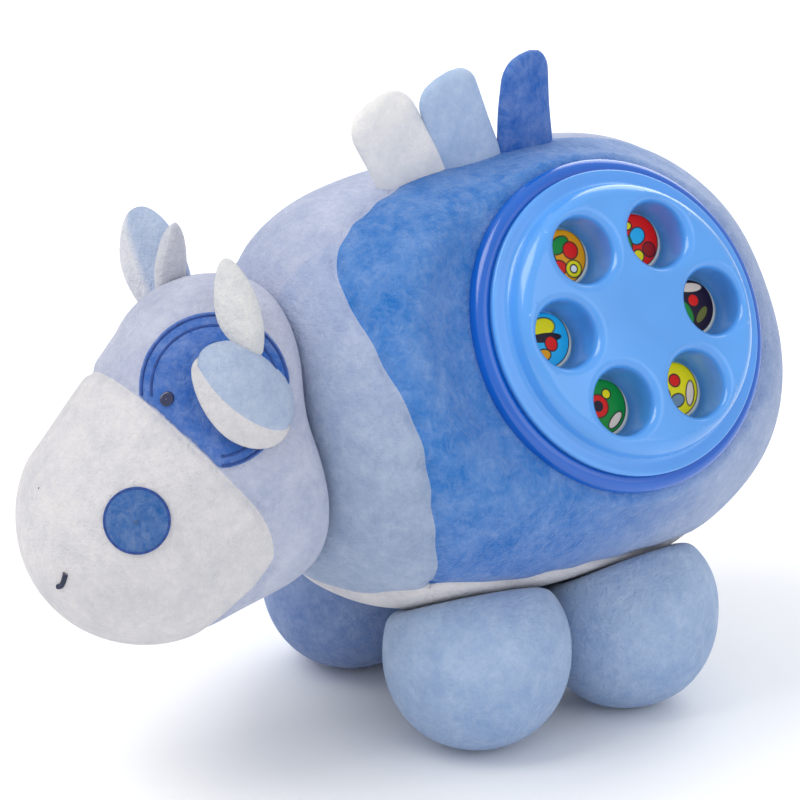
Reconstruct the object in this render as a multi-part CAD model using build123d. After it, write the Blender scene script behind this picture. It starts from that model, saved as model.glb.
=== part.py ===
from build123d import *
import os
from math import asin, cos, pi, radians, sin

# A plush toy cow with a round six-button music unit in its left flank.
# Millimetres. +Z is up, the cow faces -Y and its left side is +X.
# The sizes below are about a point on the ground between the four legs;
# the last lines move everything so that the origin is the middle of the whole box's underside.

# ---------------------------------------------------------------- driving sizes: plush body
FABRIC = 1.5  # thickness of every plush panel
PATCH = 0.8  # how far an appliqued patch stands off the panel under it

TORSO_LENGTH = 168.0
TORSO_DIAMETER = 134.0
TORSO_POWER = 3.0  # 2 is an ellipse, more is a fuller barrel
TORSO_MIDDLE_Y = 3.0
BELLY_CLEARANCE = 34.5
TORSO_AXIS_Z = BELLY_CLEARANCE + TORSO_DIAMETER / 2

SHOULDER_SEAM_TOP_Y = -66.0  # at the back's height
SHOULDER_SEAM_LOW_Y = -46.0  # at the belly's height
BELLY_SEAM_FRONT_Z = 60.0  # at the shoulder seam
BELLY_SEAM_FALL = 9.0  # degrees that the belly seam drops towards the tail
BELLY_SEAM_NOSE = 38.0  # and towards the chest, ahead of the shoulder seam

LEG_RADIUS = 27.6
LEG_LEAVES_SOLE = (1, 0.25)  # outwards and up: how its outline starts
LEG_MEETS_NECK = (-0.1, 1)  # and how it ends
LEG_NECK_RADIUS = 24.0
LEG_SPAN_X = 70.0
LEG_SPAN_Y = 58.5
LEG_MIDDLE_Y = 1.5
LEG_WIDEST_Z = 25.0
LEG_NECK_Z = 50.0
LEG_TOP_Z = 64.0
SOLE_RADIUS = 19.0

MUZZLE_CENTRE = Vector(0, -119.0, 82.0)
MUZZLE_RADIUS = 38.5
CROWN_CENTRE = Vector(0, -96.0, 119.5)
CROWN_RADIUS = 31.5
CHEEK_CENTRE = Vector(0, -97.0, 90.0)
CHEEK_RADIUS = 37.0
CHEEK_SPREAD = 12.0  # between the middles of the two cheeks
MASK_TOP = Vector(0, -127.0, 124.0)  # where the white face ends on the forehead
MASK_SLOPE = 53.0  # degrees that its edge falls towards the cheek
MASK_BACK_Y = -99.0  # its edge below the cheek

EAR_LENGTH = 38.0
EAR_WIDTH = 29.0
EAR_THICKNESS = 10.0
LEFT_EAR_MIDDLE = Vector(32.0, -105.0, 127.5)
LEFT_EAR_ALONG = Vector(-0.385, -0.82, 0.37)  # it flops forwards
LEFT_EAR_FACE = Vector(0.68, 0.0, 0.73)
RIGHT_EAR_MIDDLE = Vector(-33.0, -91.0, 144.5)
RIGHT_EAR_ALONG = Vector(-0.42, -0.12, 0.87)  # it stands
RIGHT_EAR_FACE = Vector(0.25, -0.95, -0.18)

HORN_LENGTH = 31.0
HORN_WIDTH = 12.5
HORN_THICKNESS = 9.0
HORN_SPREAD = 19.0  # from the middle of the head to each horn
HORN_SHIFT = 2.0  # the pair is a little to the left, as the head is turned
HORN_MIDDLE_Y = -99.0
HORN_MIDDLE_Z = 146.5
HORN_LEAN = 0.30  # sideways lean for each step up
HORN_FACE = Vector(0.8, -0.6, 0)  # where the left horn's flat looks; the right one mirrors it

TAB_THICKNESS = 4.0
TAB_CORNER = 0.28  # radius of its top corners as a share of its width
TAB_ROOT = 8.0  # length of each tab that is buried in the back before trimming
WHITE_TAB = {"base": Vector(0, -26.0, 167.0), "lean": 27.0, "width": 22.5, "height": 29.5}
LIGHT_TAB = {"base": Vector(0, -5.0, 168.0), "lean": 22.0, "width": 20.0, "height": 32.5}
BLUE_TAB = {"base": Vector(0, 13.5, 169.0), "lean": 3.0, "width": 19.5, "height": 32.0}

TAIL_RADIUS = 5.0
TAIL_ROOT_RADIUS = 4.0
TAIL_LENGTH = 40.0
TAIL_TOP_Z = 128.0

NOSTRIL_RADIUS = 9.5
HEAD_TURN = 7.5  # degrees that the face looks to its left
NOSTRIL_AIM = (64.5, 20.0)  # degrees round from where the face looks, and up
EYE_PATCH_RADIUS = 21.0
EYE_PATCH_AIM = (69.5, 14.0)
EYE_RADIUS = 2.0
EYE_STANDS = 1.4  # how far the eye stands off the head
EYE_AIM = (45.5, 10.0)
MOUTH_RADIUS = 12.0
MOUTH_MIDDLE_Z = 80.0
THREAD = 1.6

# ---------------------------------------------------------------- driving sizes: music unit
# Heights in the unit are measured outwards from the fabric under the bezel ring.
UNIT_TILT = 28.0  # degrees that the unit's face looks up
UNIT_CENTRE = Vector(41.5, 17.0, 125.6)
RING_RADIUS = 50.0
RING_HEIGHT = 6.5
RING_ROUND = 3.0
ARC_MIDDLE = 0.3  # a quarter round's middle is this share of its radius in from its corner
CUP_INNER_RADIUS = 42.2
CUP_WALL = 1.8
CUP_FLANGE_RADIUS = 49.0
CUP_FLANGE = 2.0
SOCKET_SCREW_COUNT = 4
SOCKET_SCREW_FIRST_ANGLE = 45.0
SCREW_END_ROOM = 1.0  # between a socket screw's tip and the end of its hole
CUP_DEPTH_SPARE = 4.0  # room under the lifted battery door
COLLAR_SPARE = 1.5  # fabric that shows outside the ring before it curves away
COLLAR_DEPTH = 14.0
COLLAR_FLARE = 5.0
DISH_RISE = 24.0  # the flank is pressed in round the ring, up a slope of this height
DISH_FLARE = 52.0  # over this distance out from the ring

SEAT_GAP = 0.2  # between the plate's flange and the ring
PLATE_RADIUS = 45.8
PLATE_FLANGE = 2.0
DOME_RADIUS = 40.8
DOME_TOP_RADIUS = 36.5
DOME_RISE = 7.8
SHOULDER_FOOT_IN = 0.8  # two steps of the dome's rounded shoulder:
SHOULDER_FOOT_DOWN = 3.2  # in from its radius, and down from its shoulder's height
SHOULDER_HEAD_IN = 2.0
SHOULDER_HEAD_DOWN = 1.2
CROWN_RISE = 1.0
WALL = 2.0

BUTTON_COUNT = 6
BUTTON_PITCH_RADIUS = 26.3
BUTTON_RADIUS = 8.5
BUTTON_GAP = 0.4
BUTTON_TRAVEL = 1.5
BUTTON_TOP = 4.4
BUTTON_CROWN = 0.5
BUTTON_FLANGE_RADIUS = 10.2
BUTTON_FLANGE = 1.4
BUTTON_POST_RADIUS = 2.2
BUTTON_POST = 2.0
WELL_FLOOR_TOP = 2.5
WELL_FLOOR = 1.8
WELL_FOOT_RADIUS = 9.5
WELL_RIM_RADIUS = 10.4
RIM_FLARE = 1.4

MAT_BASE = 1.0
MAT_DOME_FOOT = 4.5
MAT_DOME_HEAD = 3.0
MAT_DOME_HEIGHT = 2 * BUTTON_TRAVEL  # it folds to half its height when its key is pressed
MAT_DOME_WALL = 1.0
BOARD_RADIUS = 37.5
BOARD_THICKNESS = 1.6

SHELL_RADIUS = 41.4
SHELL_WALL = 2.0
SHELL_BACK = -24.0
BOSS_COUNT = 3
BOSS_CIRCLE_RADIUS = 34.3
BOSS_RADIUS = 2.9
BOSS_FIRST_ANGLE = 30.0
CASE_SCREW_RADIUS = 1.25
CASE_SCREW_HEAD_RADIUS = 2.2
CASE_SCREW_HEAD = 1.6
SCREW_GAP = 0.05

CELL_RADIUS = 5.25
CELL_LENGTH = 44.5
CELL_PITCH = 10.8
CELL_COUNT = 3
CELL_ROW_U = 6.0
BAY_WALL = 1.2
BAY_END_ROOM = 1.25
CONTACT_THICKNESS = 0.5
DOOR_THICKNESS = 2.0
DOOR_LEDGE = 1.2
DOOR_GAP = 0.25
DOOR_TRAVEL = 8.0
DOOR_SCREW_RADIUS = 1.2
CELL_GAP = 0.25

SPEAKER_U = -25.2
SPEAKER_V = -4.0
SPEAKER_RADIUS = 12.0
SPEAKER_HEIGHT = 5.0
SPEAKER_RIM = 1.0
CONE_INSET = 2.5  # the cone inside its frame, all round
MAGNET_RADIUS = 7.0
MAGNET_HEIGHT = 3.5
SOUND_HOLE_RADIUS = 0.9
SOUND_HOLE_CIRCLE = 6.0
SOUND_HOLE_COUNT = 6  # and one more in the middle

SWITCH_U = -20.0
SWITCH_V = 27.0
SWITCH_LENGTH = 11.0
SWITCH_WIDTH = 5.5
SWITCH_HEIGHT = 5.0
KNOB_LENGTH = 4.0
KNOB_WIDTH = 3.0
KNOB_TRAVEL = 3.0
KNOB_GAP = 0.3
KNOB_STEM = 1.8
KNOB_STANDS = 0.6  # how far the knob stands out of the case
KNOB_GROOVE = 0.5
WIRE_RADIUS = 0.6
CHIP_RADIUS = 5.0
CHIP_HEIGHT = 1.8
CHIP_U = -19.0
CHIP_V = 13.0

# ---------------------------------------------------------------- worked-out places
UNIT = Plane(
    origin=UNIT_CENTRE,
    x_dir=(0, 1, 0),
    z_dir=(cos(radians(UNIT_TILT)), 0, sin(radians(UNIT_TILT))),
)
FLANGE_BOTTOM = RING_HEIGHT + SEAT_GAP
FLANGE_TOP = FLANGE_BOTTOM + PLATE_FLANGE
DOME_SHOULDER = FLANGE_TOP + DOME_RISE
DOME_TOP = DOME_SHOULDER + CROWN_RISE
WELL_FLOOR_BOTTOM = WELL_FLOOR_TOP - WELL_FLOOR
BUTTON_FLANGE_TOP = WELL_FLOOR_BOTTOM - BUTTON_GAP
BUTTON_FLANGE_BOTTOM = BUTTON_FLANGE_TOP - BUTTON_FLANGE
POST_TIP = BUTTON_FLANGE_BOTTOM - BUTTON_POST
MAT_TOP = POST_TIP - MAT_DOME_HEIGHT
BOARD_TOP = MAT_TOP - MAT_BASE
BOARD_BOTTOM = BOARD_TOP - BOARD_THICKNESS
BACK_INSIDE = SHELL_BACK + SHELL_WALL
DOOR_INSIDE = SHELL_BACK + DOOR_THICKNESS
CELL_AXIS = DOOR_INSIDE + CELL_GAP + CELL_RADIUS
BAY_ROOF_BOTTOM = CELL_AXIS + CELL_RADIUS + CELL_GAP
BAY_ROOF_TOP = BAY_ROOF_BOTTOM + BAY_WALL
BAY_WIDTH = CELL_COUNT * CELL_PITCH + 2 * CELL_GAP
BAY_LENGTH = CELL_LENGTH + 2 * BAY_END_ROOM
DOOR_SCREW_U = CELL_ROW_U + BAY_WIDTH / 2 + BOSS_RADIUS  # just past the end cell
CUP_BOTTOM_INSIDE = SHELL_BACK - DOOR_TRAVEL - CUP_DEPTH_SPARE
CUP_OUTER_RADIUS = CUP_INNER_RADIUS + CUP_WALL
CUP_BOTTOM = CUP_BOTTOM_INSIDE - CUP_FLANGE
CUP_FLANGE_TOP = -FABRIC
CUP_FLANGE_BOTTOM = CUP_FLANGE_TOP - CUP_FLANGE
SOCKET_SCREW_CIRCLE = (CUP_OUTER_RADIUS + CUP_FLANGE_RADIUS) / 2

BIG = 400.0  # longer than the whole toy: for trimming blocks
CUT = 1.0  # how far a cutting shape passes the face that it cuts
BOTTOM = (Align.CENTER, Align.CENTER, Align.MIN)


# ---------------------------------------------------------------- general helpers
def disc(radius, bottom, top, u=0.0, v=0.0):
    """A cylinder about the unit's own axis direction, from one height to another."""
    return Pos(u, v, bottom) * Cylinder(radius, top - bottom, align=BOTTOM)


def tube(outer, inner, bottom, top):
    return disc(outer, bottom, top) - disc(inner, bottom - CUT, top + CUT)


def block(length, width, bottom, top, u=0.0, v=0.0):
    return Pos(u, v, bottom) * Box(length, width, top - bottom, align=BOTTOM)


def turned(points):
    """A solid of revolution about Z from a closed outline of radius and height."""
    outline = Plane.XZ * make_face(Polyline(*points, close=True))
    return revolve(outline, Axis.Z)


def in_front(point, normal):
    """A block that fills the side of a plane that its normal points to."""
    return Plane(origin=point, z_dir=normal) * Box(BIG, BIG, BIG, align=BOTTOM)


def around(count, radius, first=0.0):
    """Places spaced evenly round a circle in the unit's plane."""
    steps = [radians(first + 360.0 * step / count) for step in range(count)]
    return [(radius * cos(angle), radius * sin(angle)) for angle in steps]


def socket_screw_places():
    return around(SOCKET_SCREW_COUNT, SOCKET_SCREW_CIRCLE, SOCKET_SCREW_FIRST_ANGLE)


def boss_places():
    return around(BOSS_COUNT, BOSS_CIRCLE_RADIUS, BOSS_FIRST_ANGLE)


# ---------------------------------------------------------------- plush body shapes
def barrel(inset=0.0):
    """The torso: a round barrel with full rounded ends, lying along Y."""
    half = TORSO_LENGTH / 2 - inset
    radius = TORSO_DIAMETER / 2 - inset
    shares = [-1, -0.93, -0.75, -0.42, 0, 0.42, 0.75, 0.93, 1]
    swell = [(1 - abs(share) ** TORSO_POWER) ** (1 / TORSO_POWER) for share in shares]
    points = [(radius * size, half * share) for size, share in zip(swell, shares)]
    front = TangentArc(points[0], points[1], tangent=(1, 0))
    back = TangentArc(points[-1], points[-2], tangent=(1, 0))
    side = Spline(*points[1:-1], tangents=[front % 1, -(back % 1)])
    edges = [front, side, back, Line(points[-1], points[0])]
    lying = Rot(90, 0, 180) * revolve(Plane.XZ * make_face(edges), Axis.Z)
    return Pos(0, TORSO_MIDDLE_Y, TORSO_AXIS_Z) * lying


def collar(inset=0.0):
    """The flat-topped swelling of the flank that the bezel ring lies on."""
    top = RING_RADIUS + COLLAR_SPARE - inset
    cone = Cone(top + COLLAR_FLARE, top, COLLAR_DEPTH - inset, align=BOTTOM)
    return UNIT * (Pos(0, 0, -COLLAR_DEPTH) * cone)


def dish(inset=0.0):
    """What the hard ring presses out of the flank: a shallow cone that opens outwards."""
    foot = RING_RADIUS + COLLAR_SPARE
    cone = Cone(foot, foot + DISH_FLARE, DISH_RISE, align=BOTTOM)
    return UNIT * (Pos(0, 0, -inset) * cone)


def torso(inset=0.0):
    return barrel(inset) + collar(inset) - dish(inset)


def tapered_capsule(start, start_radius, end, end_radius):
    """Two balls and the cone that is tangent to both."""
    length = (end - start).length
    lean = asin((start_radius - end_radius) / length)
    foot = (start_radius * cos(lean), start_radius * sin(lean))
    head = (end_radius * cos(lean), length + end_radius * sin(lean))
    low = (lean - pi / 2) / 2
    high = (lean + pi / 2) / 2
    foot_middle = (start_radius * cos(low), start_radius * sin(low))
    head_middle = (end_radius * cos(high), length + end_radius * sin(high))
    pole, tip = (0, -start_radius), (0, length + end_radius)
    edges = [
        ThreePointArc(pole, foot_middle, foot),
        Line(foot, head),
        ThreePointArc(head, head_middle, tip),
        Line(tip, pole),
    ]
    solid = revolve(Plane.XZ * make_face(edges), Axis.Z)
    return Plane(origin=start, z_dir=end - start) * solid


def head(inset=0.0):
    """A round muzzle that narrows up to the crown, with two full cheeks behind it."""
    face = tapered_capsule(MUZZLE_CENTRE, MUZZLE_RADIUS - inset, CROWN_CENTRE, CROWN_RADIUS - inset)
    aside = Vector(CHEEK_SPREAD / 2, 0, 0)
    cheek = CHEEK_RADIUS - inset
    cheeks = tapered_capsule(CHEEK_CENTRE - aside, cheek, CHEEK_CENTRE + aside, cheek)
    return face + cheeks


def leg(x, y, inset=0.0):
    """One fat round leg: a flat sole, a bulging foot and a slightly narrower top."""
    sole = SOLE_RADIUS - inset
    wide = LEG_RADIUS - inset
    neck = LEG_NECK_RADIUS - inset
    bulge = [(sole, inset), (wide, LEG_WIDEST_Z), (neck, LEG_NECK_Z)]
    foot = Spline(*bulge, tangents=[LEG_LEAVES_SOLE, LEG_MEETS_NECK])
    edges = [
        Line((0, inset), (sole, inset)),
        foot,
        Line((neck, LEG_NECK_Z), (neck, LEG_TOP_Z)),
        Line((neck, LEG_TOP_Z), (0, LEG_TOP_Z)),
        Line((0, LEG_TOP_Z), (0, inset)),
    ]
    return Pos(x, y, 0) * revolve(Plane.XZ * make_face(edges), Axis.Z)


def aimed(centre, side, aim):
    """A plane at the head's middle that looks round and up from straight ahead."""
    turn, rise = radians(aim[0] - side * HEAD_TURN), radians(aim[1])
    look = Vector(side * sin(turn) * cos(rise), -cos(turn) * cos(rise), sin(rise))
    return Plane(origin=centre, z_dir=look)


def pad(middle, length, width, thickness, along, face):
    """A stuffed leaf: flat, with a rounded outline. 'along' is its long way, 'face' looks at it."""
    leaf = scale(Sphere(0.5), by=(length, width, thickness))
    return Plane(origin=middle, x_dir=along, z_dir=face) * leaf


def tab(base, lean, width, height):
    """A doubled ribbon standing on the back seam, with rounded top corners."""
    full = height + TAB_ROOT
    sheet = Pos(0, full / 2 - TAB_ROOT) * RectangleRounded(width, full, width * TAB_CORNER)
    standing = Plane(origin=(-TAB_THICKNESS / 2, 0, 0), x_dir=(0, 1, 0), z_dir=(1, 0, 0))
    return Pos(*base) * Rot(lean, 0, 0) * (standing * extrude(sheet, TAB_THICKNESS))


# ---------------------------------------------------------------- plush body pieces
def torso_pieces(parts):
    """Stuffing and the four panels sewn round it, open where the socket goes in."""
    skin = torso() - torso(FABRIC)
    skin -= UNIT * disc(CUP_INNER_RADIUS, -COLLAR_DEPTH, CUT)
    for u, v in socket_screw_places():
        skin -= UNIT * disc(CASE_SCREW_RADIUS, -COLLAR_DEPTH, CUT, u, v)

    seam_point = (0, SHOULDER_SEAM_LOW_Y, BELLY_SEAM_FRONT_Z)
    rise = TORSO_AXIS_Z + TORSO_DIAMETER / 2 - BELLY_SEAM_FRONT_Z
    lean = Vector(0, -rise, SHOULDER_SEAM_TOP_Y - SHOULDER_SEAM_LOW_Y)
    ahead = in_front(seam_point, lean)
    fall = radians(BELLY_SEAM_FALL)
    nose = radians(BELLY_SEAM_NOSE)
    below = in_front(seam_point, (0, -sin(fall), -cos(fall)))
    below &= in_front(seam_point, (0, sin(nose), -cos(nose)))
    left = in_front((0, 0, 0), (1, 0, 0))

    parts["belly_panel"] = skin & below
    upper = skin - below
    parts["flank_panel_right"] = upper - left
    left_side = upper & left
    parts["shoulder_panel_left"] = left_side & ahead
    parts["flank_panel_left"] = left_side - ahead

    room = disc(CUP_OUTER_RADIUS, CUP_BOTTOM, CUT) + disc(CUP_FLANGE_RADIUS, CUP_FLANGE_BOTTOM, CUT)
    for u, v in socket_screw_places():
        room += disc(CASE_SCREW_HEAD_RADIUS, CUP_FLANGE_BOTTOM - CASE_SCREW_HEAD, 0, u, v)
    parts["torso_stuffing"] = torso(FABRIC) - UNIT * room


def head_pieces(parts, body):
    """Head stuffing, the blue crown and the white mask over the muzzle."""
    fill = head(FABRIC) - body
    skin = (head() - head(FABRIC)) - body
    slope = radians(MASK_SLOPE)
    below_forehead = in_front(MASK_TOP, (0, -sin(slope), -cos(slope)))
    before_cheek = in_front((0, MASK_BACK_Y, 0), (0, -1, 0))
    mask = below_forehead & before_cheek
    parts["head_stuffing"] = fill
    parts["muzzle_panel"] = skin & mask
    parts["crown_panel"] = skin - mask


def face_pieces(parts):
    """Patches, eyes and mouth: thin pieces that follow the head's surface."""
    layer = head(-PATCH) - head()
    slope = radians(MASK_SLOPE)
    above_mask = in_front(MASK_TOP, (0, sin(slope), cos(slope)))
    for side, word in ((1, "left"), (-1, "right")):
        nostril = aimed(MUZZLE_CENTRE, side, NOSTRIL_AIM) * disc(NOSTRIL_RADIUS, 0, BIG)
        parts[f"nostril_{word}"] = layer & nostril
        reach = aimed(CROWN_CENTRE, side, EYE_PATCH_AIM) * disc(EYE_PATCH_RADIUS, 0, BIG)
        eye = aimed(CROWN_CENTRE, side, EYE_AIM) * disc(EYE_RADIUS, 0, BIG)
        parts[f"eye_patch_{word}"] = (layer & reach & above_mask) - eye
        parts[f"eye_{word}"] = (head(-EYE_STANDS) - head()) & eye
    mouth = Plane(origin=(0, MUZZLE_CENTRE.Y, MOUTH_MIDDLE_Z), z_dir=(0, -1, 0))
    ring = mouth * tube(MOUTH_RADIUS, MOUTH_RADIUS - THREAD, 0, BIG)
    lower_half = in_front((0, 0, MOUTH_MIDDLE_Z - MOUTH_RADIUS / 3), (0, 0, -1))
    parts["mouth_stitch"] = layer & ring & lower_half


def leg_pieces(parts, body):
    for x_side, across in ((1, "left"), (-1, "right")):
        for y_side, along in ((-1, "front"), (1, "rear")):
            x = x_side * LEG_SPAN_X / 2
            y = LEG_MIDDLE_Y + y_side * LEG_SPAN_Y / 2
            outer = leg(x, y) - body
            inner = leg(x, y, FABRIC) - body
            parts[f"leg_cover_{along}_{across}"] = outer - inner
            parts[f"leg_stuffing_{along}_{across}"] = inner


def ear_pieces(parts, body):
    """Each ear is two layers: blue outside and a white lining. The left one flops forwards."""
    for word, middle, along, face in (
        ("left", LEFT_EAR_MIDDLE, LEFT_EAR_ALONG, LEFT_EAR_FACE),
        ("right", RIGHT_EAR_MIDDLE, RIGHT_EAR_ALONG, RIGHT_EAR_FACE),
    ):
        flat = face - along * (face.dot(along) / along.dot(along))
        leaf = pad(middle, EAR_LENGTH, EAR_WIDTH, EAR_THICKNESS, along, flat) - body
        outside = in_front(middle, flat)
        parts[f"ear_{word}"] = leaf & outside
        parts[f"ear_lining_{word}"] = leaf - outside


def horn_pieces(parts, body):
    for side, word in ((1, "left"), (-1, "right")):
        middle = Vector(side * HORN_SPREAD + HORN_SHIFT, HORN_MIDDLE_Y, HORN_MIDDLE_Z)
        along = Vector(side * -HORN_LEAN, -HORN_LEAN / 3, 1.0)
        across = Vector(side * HORN_FACE.X, HORN_FACE.Y, 0)
        flat = across - along * (across.dot(along) / along.dot(along))
        horn = pad(middle, HORN_LENGTH, HORN_WIDTH, HORN_THICKNESS, along, flat)
        parts[f"horn_{word}"] = horn - body


def back_pieces(parts, body):
    """Three ribbon tabs in the back seam, and a short tail."""
    parts["back_tab_white"] = tab(**WHITE_TAB) - body
    parts["back_tab_light_blue"] = tab(**LIGHT_TAB) - body - parts["back_tab_white"]
    parts["back_tab_blue"] = tab(**BLUE_TAB) - body - parts["back_tab_light_blue"]
    rump = TORSO_MIDDLE_Y + TORSO_LENGTH / 2
    top = Vector(0, rump - TAIL_RADIUS, TAIL_TOP_Z)
    tip = Vector(0, rump + TAIL_RADIUS, TAIL_TOP_Z - TAIL_LENGTH)
    parts["tail"] = tapered_capsule(top, TAIL_ROOT_RADIUS, tip, TAIL_RADIUS) - body


# ---------------------------------------------------------------- socket pieces
def socket_pieces(parts):
    """The ring outside and the cup inside, which clamp the fabric between them."""
    outer = [
        (CUP_INNER_RADIUS, 0),
        (RING_RADIUS, 0),
        (RING_RADIUS, RING_HEIGHT - RING_ROUND),
        (RING_RADIUS - RING_ROUND * ARC_MIDDLE, RING_HEIGHT - RING_ROUND * ARC_MIDDLE),
        (RING_RADIUS - RING_ROUND, RING_HEIGHT),
        (CUP_INNER_RADIUS, RING_HEIGHT),
    ]
    ring = turned(outer)
    cup = tube(CUP_OUTER_RADIUS, CUP_INNER_RADIUS, CUP_BOTTOM_INSIDE, CUP_FLANGE_TOP)
    cup += tube(CUP_FLANGE_RADIUS, CUP_INNER_RADIUS, CUP_FLANGE_BOTTOM, CUP_FLANGE_TOP)
    cup += disc(CUP_OUTER_RADIUS, CUP_BOTTOM, CUP_BOTTOM_INSIDE)
    screws = []
    thread_end = RING_HEIGHT - WALL
    for u, v in socket_screw_places():
        shank = disc(CASE_SCREW_RADIUS - SCREW_GAP, CUP_FLANGE_BOTTOM, thread_end - SCREW_END_ROOM, u, v)
        head_bottom = CUP_FLANGE_BOTTOM - CASE_SCREW_HEAD
        top = disc(CASE_SCREW_HEAD_RADIUS - SCREW_GAP, head_bottom, CUP_FLANGE_BOTTOM, u, v)
        screws.append(UNIT * (shank + top))
        bore = disc(CASE_SCREW_RADIUS, CUP_FLANGE_BOTTOM - CUT, thread_end, u, v)
        ring -= bore
        cup -= bore
    parts["bezel_ring"] = UNIT * ring
    parts["socket_cup"] = UNIT * cup
    parts["socket_screws"] = Compound(screws)


# ---------------------------------------------------------------- music unit pieces
def front_plate():
    """The domed face: a thin shell with six deep finger wells hanging in it."""
    shell = turned(
        [
            (0, FLANGE_BOTTOM),
            (PLATE_RADIUS, FLANGE_BOTTOM),
            (PLATE_RADIUS, FLANGE_TOP - WALL / 4),
            (PLATE_RADIUS - WALL / 4, FLANGE_TOP),
            (DOME_RADIUS, FLANGE_TOP),
            (DOME_RADIUS - SHOULDER_FOOT_IN, DOME_SHOULDER - SHOULDER_FOOT_DOWN),
            (DOME_RADIUS - SHOULDER_HEAD_IN, DOME_SHOULDER - SHOULDER_HEAD_DOWN),
            (DOME_TOP_RADIUS, DOME_SHOULDER),
            (DOME_TOP_RADIUS / 2, DOME_TOP - CROWN_RISE / 4),
            (0, DOME_TOP),
        ]
    )
    hollow = turned(
        [
            (0, FLANGE_BOTTOM - CUT),
            (DOME_RADIUS - WALL, FLANGE_BOTTOM - CUT),
            (DOME_RADIUS - WALL, DOME_SHOULDER - WALL - SHOULDER_FOOT_DOWN),
            (DOME_TOP_RADIUS - WALL, DOME_SHOULDER - WALL),
            (0, DOME_TOP - WALL),
        ]
    )
    plate = shell - hollow
    skirt = turned(
        [
            (0, WELL_FLOOR_BOTTOM),
            (DOME_RADIUS - WALL, WELL_FLOOR_BOTTOM),
            (DOME_RADIUS - WALL, FLANGE_TOP),
            (DOME_TOP_RADIUS, DOME_SHOULDER - WALL / 2),
            (0, DOME_SHOULDER - WALL / 2),
        ]
    )
    well_height = DOME_TOP - WELL_FLOOR_TOP
    wells = around(BUTTON_COUNT, BUTTON_PITCH_RADIUS)
    for u, v in wells:
        cup = Cone(WELL_FOOT_RADIUS + WALL, WELL_RIM_RADIUS + WALL, DOME_TOP - WELL_FLOOR_BOTTOM, align=BOTTOM)
        plate += skirt & (Pos(u, v, WELL_FLOOR_BOTTOM) * cup)
    for u, v in boss_places():
        plate += disc(BOSS_RADIUS, BOARD_TOP, DOME_SHOULDER - WALL / 2, u, v)
    for u, v in wells:
        plate -= Pos(u, v, WELL_FLOOR_TOP) * Cone(WELL_FOOT_RADIUS, WELL_RIM_RADIUS, well_height, align=BOTTOM)
        flare = Cone(WELL_RIM_RADIUS - RIM_FLARE, WELL_RIM_RADIUS + RIM_FLARE, 2 * RIM_FLARE, align=BOTTOM)
        plate -= Pos(u, v, DOME_SHOULDER - RIM_FLARE) * flare
        plate -= disc(BUTTON_RADIUS + BUTTON_GAP, WELL_FLOOR_BOTTOM - CUT, WELL_FLOOR_TOP + CUT, u, v)
    for u, v in boss_places():
        plate -= disc(CASE_SCREW_RADIUS + SCREW_GAP, BOARD_TOP - CUT, FLANGE_TOP, u, v)
    return plate


def button(u, v):
    """One key: a crowned cap, a flange that stops it leaving the well, and a post."""
    straight = disc(BUTTON_RADIUS, BUTTON_FLANGE_TOP, BUTTON_TOP, u, v)
    bulge_radius = (BUTTON_RADIUS**2 + BUTTON_CROWN**2) / (2 * BUTTON_CROWN)
    ball = Pos(u, v, BUTTON_TOP + BUTTON_CROWN - bulge_radius) * Sphere(bulge_radius)
    crown = disc(BUTTON_RADIUS, BUTTON_TOP, BUTTON_TOP + BUTTON_CROWN, u, v) & ball
    flange = disc(BUTTON_FLANGE_RADIUS, BUTTON_FLANGE_BOTTOM, BUTTON_FLANGE_TOP, u, v)
    post = disc(BUTTON_POST_RADIUS, POST_TIP, BUTTON_FLANGE_BOTTOM, u, v)
    return straight + crown + flange + post


def keypad_mat():
    """A rubber sheet with one domed spring under each key."""
    mat = disc(BOARD_RADIUS, BOARD_TOP, MAT_TOP)
    for u, v in around(BUTTON_COUNT, BUTTON_PITCH_RADIUS):
        mat += Pos(u, v, MAT_TOP) * Cone(MAT_DOME_FOOT, MAT_DOME_HEAD, MAT_DOME_HEIGHT, align=BOTTOM)
        mat -= Pos(u, v, BOARD_TOP) * Cone(
            MAT_DOME_FOOT - MAT_DOME_WALL, MAT_DOME_HEAD - MAT_DOME_WALL, MAT_DOME_HEIGHT, align=BOTTOM
        )
    for u, v in boss_places():
        mat -= disc(BOSS_RADIUS + BUTTON_GAP, BOARD_TOP - CUT, MAT_TOP + CUT, u, v)
    return mat


def circuit_board():
    board = disc(BOARD_RADIUS, BOARD_BOTTOM, BOARD_TOP)
    for u, v in boss_places():
        board -= disc(CASE_SCREW_RADIUS + SCREW_GAP, BOARD_BOTTOM - CUT, BOARD_TOP + CUT, u, v)
    return board


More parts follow.
